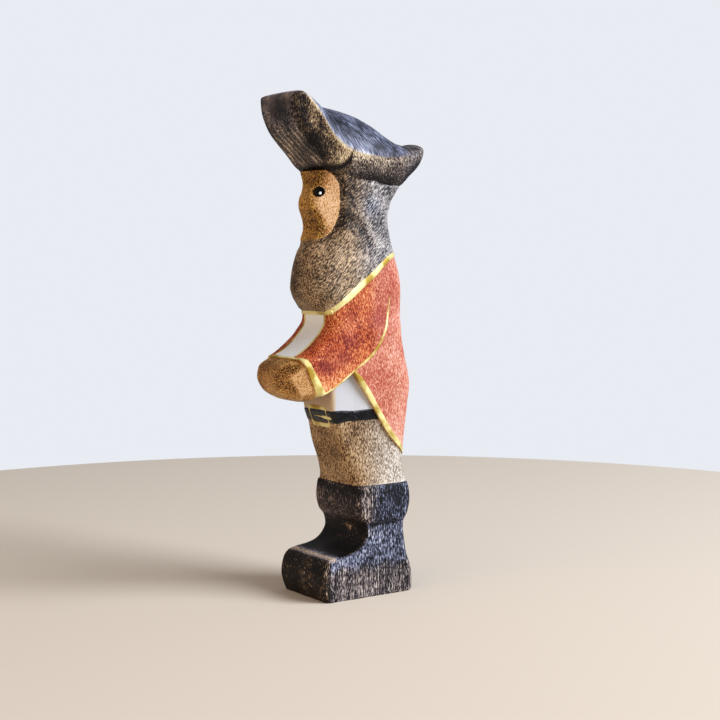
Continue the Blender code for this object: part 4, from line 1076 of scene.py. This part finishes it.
# Black stain: near-black plate and crown with grey strokes, worn to golden wood in front, and a wax shine.
# Its cool blue-grey colours are painted sheen of the window light on the crown.
hat_stain = stained_wood("black_stained_lime_hat", ("#07080b", "#2b2d38", "#868ba2", "#dedfe6"),
                         ("#060404", "#2e2622", "#8a7050", "#ead4aa"), fleck=2.2, mottle=1.0, gloss=0.46)
hat_grid, hat_rim = hat_rings()
hat_x, hat_y, hat_z = np.moveaxis(hat_grid, -1, 0)
above_lip = (hat_z - smooth(LIP, hat_y)) / np.sqrt(1 + steepness(LIP, hat_y) ** 2)
below_lip = spot((above_lip, 0.0, LIP_WIDTH)) * ramp(*LIP_FRONT, hat_y) * ramp(*LIP_REAR, hat_y)
hat_grid[..., 0] -= LIP_DEPTH * below_lip * np.sign(hat_x)
hat_out = ring_normals(hat_grid, False)
hat_out *= -np.sign(hat_out[HAT_STATIONS // 2, 0, 2])
out_side, hat_half = np.abs(hat_out[..., 0]), np.abs(hat_x)
plate = ramp(*FACING_FRONT, -hat_out[..., 1]) * ramp(*FACING_SIDE, out_side)
plate_dark = ramp(*PLATE_CORNER, hat_half) * ramp(*PLATE_RISE, hat_z)
plate_dark = plate * np.maximum(plate_dark, ramp(*PLATE_FOOT, hat_z))
below_rim = hat_rim[:, None] - hat_z
under = ramp(*RIM_FADE, below_rim)
brim = under * (1 - plate)
past_edge = hat_y - smooth(PLATE_EDGE, hat_z)
valley = under * spot((past_edge, *VALLEY)) * ramp(*VALLEY_SIDE, hat_half) * ramp(*VALLEY_FOOT, hat_z)
side_front = brim * ramp(*SIDE_FRONT, past_edge)
lip = brim * ramp(*LIP_TOP, above_lip) * ramp(*LIP_STOP, hat_y) * ramp(*LIP_START, past_edge)
lip_end = lip * spot((hat_y, *LIP_END[0]), (hat_z, *LIP_END[1]))
stained = brim * spot((past_edge, *STAINED)) * ramp(*STAINED_TOP, hat_z) * ramp(*STAINED_FOOT, hat_z)
rim_wear_highlight = spot((below_rim, *RIM_EDGE)) * ramp(*RIM_FACING, out_side)
rim_wear_highlight *= ramp(*RIM_REAR, hat_y) * ramp(*RIM_FRONT, hat_y)
behind_lip = brim * ramp(*BEHIND_LIP, hat_y)
low_side_shade = ramp(*LOW_SIDE, hat_z - hat_grid[:, :1, 2]) * behind_lip
crown_foot_wear_sheen = (1 - under) * spot((below_rim, *CROWN_FOOT)) * ramp(*CROWN_FRONT, hat_y)
tip = ramp(*TIP, hat_y)
# Painted shade darkens the groove under the lip and the low side of the brim; the rim is paler from wear and
# a painted highlight, and the foot of the crown from wear and painted sheen.
hat_stain_and_shade = 0.35 * plate_dark - 0.04 * plate + 0.3 * valley + 0.3 * side_front + 0.5 * low_side_shade
hat_stain_and_shade += 0.9 * below_lip * under + 0.5 * stained - 0.36 * lip - 0.65 * lip_end - 0.5 * rim_wear_highlight
hat_stain_and_shade += tip * (0.35 - 0.4 * (1 - under)) - 0.3 * crown_foot_wear_sheen
# The crown takes the cool colours, painted sheen of the window light; the brim and the plate the warm ones.
hat_warm = np.maximum(under * (1 - 0.2 * behind_lip), plate)
hat_warm *= (1 - 0.2 * plate * (1 + ramp(*PLATE_COOL, hat_z))) * (1 - tip)
# On the crown, strokes run down its roof in parallel, leaning back.
down_roof = np.sign(hat_x) * (hat_half + below_rim)
hat_fibre = np.stack([0 * hat_x, hat_y - CROWN_LEAN * down_roof, down_roof / CROWN_STROKE], axis=-1)
hat_fibre = np.where(under[..., None] > 0.5, hat_grid, hat_fibre)
hat = solid("hat", hat_grid, hat_stain, edges=0.3, stain_and_shade=hat_stain_and_shade,
            worn=0.65 * behind_lip * spot((below_rim, *RIM_STREAKS)) + 0.35 * rim_wear_highlight,
            warm=hat_warm + 0.6 * tip + 0.2 * rim_wear_highlight,
            ringed=0.62 * plate * (1 - plate_dark) * ramp(*RING_TOP, hat_z), fibre=hat_fibre)
fit(hat, "hat")

# Gold lines: acrylic paint laid on with a fine brush along the collar, the cuffs, the coat's hem, the
# sleeves and both edges of the shirt front. Each is a low bead, wider where the brush was pressed.
PAINT_RISE = 0.14
BEAD_POINTS = 9
LEDGE_POINTS = 3
PAINT_SINK = 0.04
PAINT_ROOT = 0.3
GOLD_PATCH = 5.0
COLLAR_POINTS = 120
CHEST_POINTS = 60
CUFF_POINTS = 70
HEM_POINTS = 110
SEAM_POINTS = 130
COLLAR_WIDTH = [(0.0, 0.7), (0.1, 0.75), (0.25, 1.0), (0.6, 0.9), (1.0, 0.65)]
COLLAR_LINE = COLLAR[:-1] + [(13.5, 93.9)]
COLLAR_STEP = (-0.3, 0.3)
CHEST_ENDS = (66.6, 77.2)
CHEST_LINE = 0.5
CUFF_SEARCH = (61.0, 75.0)
CUFF_TOP_WIDTH = 1.2
CUFF_WIDTH = (1.5, 3.1)
CUFF_LOW = (0.15, 0.9)
HEM_LINE = [ELBOW, (2.5, 51.4), (6.7, 44.9), (12.1, 39.4), (14.4, 37.5)]
HEM_WIDTH = [(0.0, 0.6), (0.15, 1.5), (0.7, 1.6), (1.0, 0.9)]
SEAM_LINE = [(-15.0, 56.0), ARM_PIT] + SLEEVE
SEAM_WIDTH = [(0.0, 0.25), (0.35, 0.3), (0.5, 0.5), (0.75, 0.45), (1.0, 0.15)]


def gold_acrylic(name):
    """Gold acrylic in patches of pale and mustard, its lit and shaded tones: painted sheen."""
    material, tree, place = blank(name)
    marks = add(tree, "ShaderNodeTexNoise", {"Vector": place, "Scale": 1 / GOLD_PATCH, "Detail": 3.0})
    sheen_patches = add(tree, "ShaderNodeMapRange", {"Value": marks, "From Min": 0.38, "From Max": 0.56})
    colour = {0: sheen_patches, 6: linear("#a98818"), 7: linear("#eadd94")}
    colour = add(tree, "ShaderNodeMix", colour, 2, data_type="RGBA")
    shader = surface(tree, colour, marks, rough=(0.55, 0.4), strength=0.3, depth=0.1, shine=0.5)
    shader.inputs["Metallic"].default_value = 0.3
    return material


def band(line, widths, count, left, right):
    """Rows of a band along a smooth side-view line through points, with a width that changes on its way.

    Each row is the line moved square to itself, from left to right widths.
    """
    y, z = drawn(line, count)
    heading = unit(np.stack([np.gradient(y), np.gradient(z)], axis=-1))
    shift = np.linspace(left, right, BEAD_POINTS)[:, None] * smooth(widths, np.linspace(0, 1, count))
    return y - shift * heading[:, 1], z + shift * heading[:, 0]


def bead(name, grid, rise, material, loop=False, square=2.5):
    """A line of paint on rows of points across and along it: raised by 1 - |u| ** square, closed below."""
    ahead, behind = np.gradient(grid, axis=0), np.gradient(grid, axis=1)
    normals = unit(np.cross(ahead, behind))
    normals *= np.sign(np.sum(normals * grid * (1, 1, 0)))
    u = np.linspace(-1, 1, len(grid))[:, None, None]
    top = grid + normals * (rise * (1 - np.abs(u) ** square) - PAINT_SINK)
    below = (grid - normals * PAINT_ROOT)[[-1, 0]]
    return solid(name, np.concatenate([top, below]).transpose(1, 0, 2), material, loop)


def with_ledge(lower, x, y, z):
    """Rows of a band with rows before it that climb a ledge, from a lower surface to the band's edge."""
    climb = np.linspace(0, 1, LEDGE_POINTS, endpoint=False)[:, None]
    x = np.concatenate([lower + climb * (x[:1] - lower), x])
    return x, np.concatenate([y[:1] + 0 * climb, y]), np.concatenate([z[:1] + 0 * climb, z])


# Gold acrylic: a soft metal gleam, in pale and mustard patches about 5 mm long, the pale ones painted
# sheen of the window light and the mustard ones painted shade.
gold_paint = gold_acrylic("gold_acrylic")


def gold_line(name, grid, loop=False):
    """A bead of gold paint on rows of points, which stands for the solid of the same name."""
    fit(bead(name, grid, PAINT_RISE, gold_paint, loop), name)


collar_y, collar_z = band(COLLAR_LINE, COLLAR_WIDTH, COLLAR_POINTS, 1.0, -1.0)
collar_y[:, 0] = -smooth(FRONT, collar_z[:, 0])
collar_y[:, -1] = smooth(BACK, collar_z[:, -1])
on_beard = head(collar_y, collar_z)
on_coat = np.maximum(arm_side(collar_y, collar_z), on_beard)
collar_step = ramp(*COLLAR_STEP, np.linspace(-1, 1, BEAD_POINTS))[:, None]
collar_x = on_beard + collar_step * (on_coat - on_beard)
gold_line("collar_trim", wrapped(collar_x, collar_y, collar_z, "both"), loop=True)

chest_z = np.linspace(*CHEST_ENDS, CHEST_POINTS)
for side, name in ((1, "left_chest_trim"), (-1, "right_chest_trim")):
    chest_x = side * (STRIP_HALF + np.linspace(-CHEST_LINE, CHEST_LINE, BEAD_POINTS))[:, None]
    chest_grid = np.stack(np.broadcast_arrays(chest_x, -smooth(ARM_FRONT, chest_z), chest_z), axis=-1)
    gold_line(name, chest_grid)

bead_share = np.linspace(0.0, 1.0, BEAD_POINTS)[:, None]
cuff_run = np.linspace(0, 1, CUFF_POINTS)
search = np.linspace(*CUFF_SEARCH, LEVEL_TRIES)
past_front = line_at(CUFF_EDGE, search) + smooth(ARM_FRONT, search)
band_top = np.interp(-bead_share * CUFF_TOP_WIDTH, -past_front, search)
band_low = CUFF_FOOT[1] + CUFF_LOW[0] + CUFF_LOW[1] * bead_share
band_z = band_top + cuff_run * (band_low - band_top)
band_y = line_at(CUFF_EDGE, band_z) + bead_share * np.linspace(*CUFF_WIDTH, CUFF_POINTS)
band_y[:, 0] = -smooth(ARM_FRONT, band_z[:, 0])
band_rows = with_ledge(hand_side(band_y[:1], band_z[:1]), arm_side(band_y, band_z), band_y, band_z)
gold_line("cuff_trim", wrapped(*band_rows, "front"))

hem_y, hem_z = band(HEM_LINE, HEM_WIDTH, HEM_POINTS, 0.0, 1.0)
hem_y[:, -1] = smooth(BACK, hem_z[:, -1])
hem_rows = with_ledge(legs(hem_y[:1], hem_z[:1]), coat_side(hem_y, hem_z), hem_y, hem_z)
gold_line("hem_trim", wrapped(*hem_rows, "back"))

seam_y, seam_z = band(SEAM_LINE, SEAM_WIDTH, SEAM_POINTS, 1.0, -0.8)
seam_grid = np.stack([arm_side(seam_y, seam_z), seam_y, seam_z], axis=-1)
for side, name in ((1, "left_sleeve_trim"), (-1, "right_sleeve_trim")):
    gold_line(name, seam_grid * (side, 1, 1))

# Belt: a stripe of glossy black paint across the front of the waist, from hem to hem. It is laid on with
# a broad brush, a little deeper at the front.
BELT_HALF = 1.55
BELT_RISE = 0.2
BELT_SAG = 0.6
BELT_SAG_END = (0.3, 0.0)
BELT_WAVE = (0.12, 9)
BELT_SQUARE = 8
BELT_POINTS = 80

# Glossy black acrylic: a wet, dark shine that breaks up on broad brush strokes.
black_paint = painted_wood("black_gloss_acrylic", "#07070a", "#0f0f14", gloss=0.2, stroke=0.9, shine=0.3)
belt_run = np.linspace(0, 1, BELT_POINTS)
belt_low = BELT_HALF + BELT_SAG * ramp(*BELT_SAG_END, belt_run)
belt_high = BELT_HALF + BELT_WAVE[0] * np.sin(BELT_WAVE[1] * belt_run)
belt_z = BELT_MIDDLE - belt_low + bead_share * (belt_low + belt_high)
belt_y = belt_run * (line_at(HEM, belt_z) + smooth(FRONT, belt_z)) - smooth(FRONT, belt_z)
belt_rows = wrapped(legs(belt_y, belt_z), belt_y, belt_z, "front")
belt = bead("belt", belt_rows, BELT_RISE, black_paint, square=BELT_SQUARE)
fit(belt, "belt")

# Buckle: a gold frame painted over the belt, with broad bars above and below and thin sides, and a
# tongue that starts thin in the middle and ends in a dab past the frame.
BUCKLE_HALF = (4.1, 2.45)
BUCKLE_LINE = (0.22, 0.55)
BUCKLE_MIDDLE = 49.5
BUCKLE_SQUARE = 0.2
TONGUE = [(-2.0, 0.1), (1.2, 0.15), (2.6, 0.45), (5.6, 0.4), (6.0, 0.2)]
TONGUE_DROOP = 0.05
TONGUE_TURN = (5.4, 1.9)
TURN_RADIUS = 2.0
BUCKLE_POINTS = 160
TONGUE_POINTS = 60

angle = np.linspace(0, math.tau, BUCKLE_POINTS, endpoint=False)
bars_x = np.sign(np.cos(angle)) * np.abs(np.cos(angle)) ** BUCKLE_SQUARE
bars_z = np.sign(np.sin(angle)) * np.abs(np.sin(angle)) ** BUCKLE_SQUARE
line_offset = np.linspace(-1, 1, BEAD_POINTS)[:, None]
buckle_x = (BUCKLE_HALF[0] + BUCKLE_LINE[0] * line_offset) * bars_x
buckle_z = BUCKLE_MIDDLE + (BUCKLE_HALF[1] + BUCKLE_LINE[1] * line_offset) * bars_z
buckle_grid = np.stack([buckle_x, -smooth(FRONT, buckle_z) - 0.5 * BELT_RISE, buckle_z], axis=-1)
gold_line("belt_buckle", buckle_grid, loop=True)
tongue_x = np.linspace(TONGUE[0][0], TONGUE[-1][0], TONGUE_POINTS)
tongue_z = BUCKLE_MIDDLE + line_offset * smooth(TONGUE, tongue_x) - TONGUE_DROOP * tongue_x
round_corner = np.clip(tongue_x - TONGUE_TURN[0], 0.0, TONGUE_TURN[1])
round_corner = TURN_RADIUS - np.sqrt(TURN_RADIUS ** 2 - round_corner ** 2)
tongue_y = round_corner - smooth(FRONT, tongue_z) - BELT_RISE
tongue_grid = np.stack(np.broadcast_arrays(tongue_x, tongue_y, tongue_z), axis=-1)
tongue = bead("belt_buckle_tongue", tongue_grid, PAINT_RISE, gold_paint)
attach(tongue, "root")

# Eyes: round drops of glossy black paint on the edges between the face's front and its cheeks, each
# with a dot of white.
EYE_MIDDLE = (4.6, 110.3)
EYE_RADIUS = (1.65, 1.4)
GLINT_SHIFT = (0.5, -0.35)
GLINT_RADIUS = (0.5, 0.5)
EYE_SLANT = 0.25
EYE_OUT = np.array([0.55, -0.83, 0.0])
EYE_RISE = 0.35
GLINT_RISE = 0.5
DROP_RINGS = 14
DROP_POINTS = 48
DROP_HUB = 0.05
DROP_SINK = 0.03
DROP_ROOT = 0.4
CHEEK_POINTS = 300
CHEEK_REACH = 9.0


def on_head(run, z):
    """Points of the head's left side at a run around it from the middle of its front, at some levels.

    The side is stepped along in short lengths, and a point lies between the two steps on either side
    of its run, in proportion.
    """
    front = smooth(FRONT, z)[..., None]
    y = np.linspace(0, 1, CHEEK_POINTS) ** 2 * CHEEK_REACH - front
    x = head(y, np.broadcast_to(z[..., None], y.shape))
    x, y = np.concatenate([0 * front, x], axis=-1), np.concatenate([-front, y], axis=-1)
    length = run_along(x, y)
    k = np.minimum((length[..., 1:] < run[..., None]).sum(axis=-1), length.shape[-1] - 2)[..., None]
    last, after = ([np.take_along_axis(row, k + i, axis=-1) for row in (length, x, y)] for i in (0, 1))
    share = (run[..., None] - last[0]) / (after[0] - last[0])
    pick = [a * (1 - share) + b * share for a, b in zip(last[1:], after[1:])]
    return np.concatenate([*pick, z[..., None]], axis=-1)


def drop(name, middle, radius, rise, material, side):
    """A drop of paint draped over the head: a disc of rings raised by sqrt(1 - r ** 2)."""
    r = np.sin(np.linspace(math.pi / 2, DROP_HUB, DROP_RINGS))
    r = np.concatenate([[1.0], r])[:, None]
    turn = np.linspace(0, math.tau, DROP_POINTS, endpoint=False)
    level = radius[1] * r * np.sin(turn)
    disc = on_head(middle[0] + radius[0] * r * np.cos(turn) - EYE_SLANT * level, middle[1] + level)
    height = rise * np.sqrt(1 - r * r) - DROP_SINK
    height[0] = -DROP_ROOT
    return solid(name, (disc + height[..., None] * EYE_OUT) * (side, 1, 1), material)


# Glossy black acrylic in one round drop: deep black with a narrow gleam.
eye_paint = painted_wood("black_eye_acrylic", "#030304", "#060608", gloss=0.2, shine=0.1)
for side, name in ((1, "left_eye"), (-1, "right_eye")):
    eye = drop(name, EYE_MIDDLE, EYE_RADIUS, EYE_RISE, eye_paint, side)
    fit(eye, name)
    glint_middle = (EYE_MIDDLE[0] + GLINT_SHIFT[0], EYE_MIDDLE[1] + GLINT_SHIFT[1])
    glint = drop(name + "_glint", glint_middle, GLINT_RADIUS, GLINT_RISE, lit_chest_paint, side)
    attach(glint, "root")
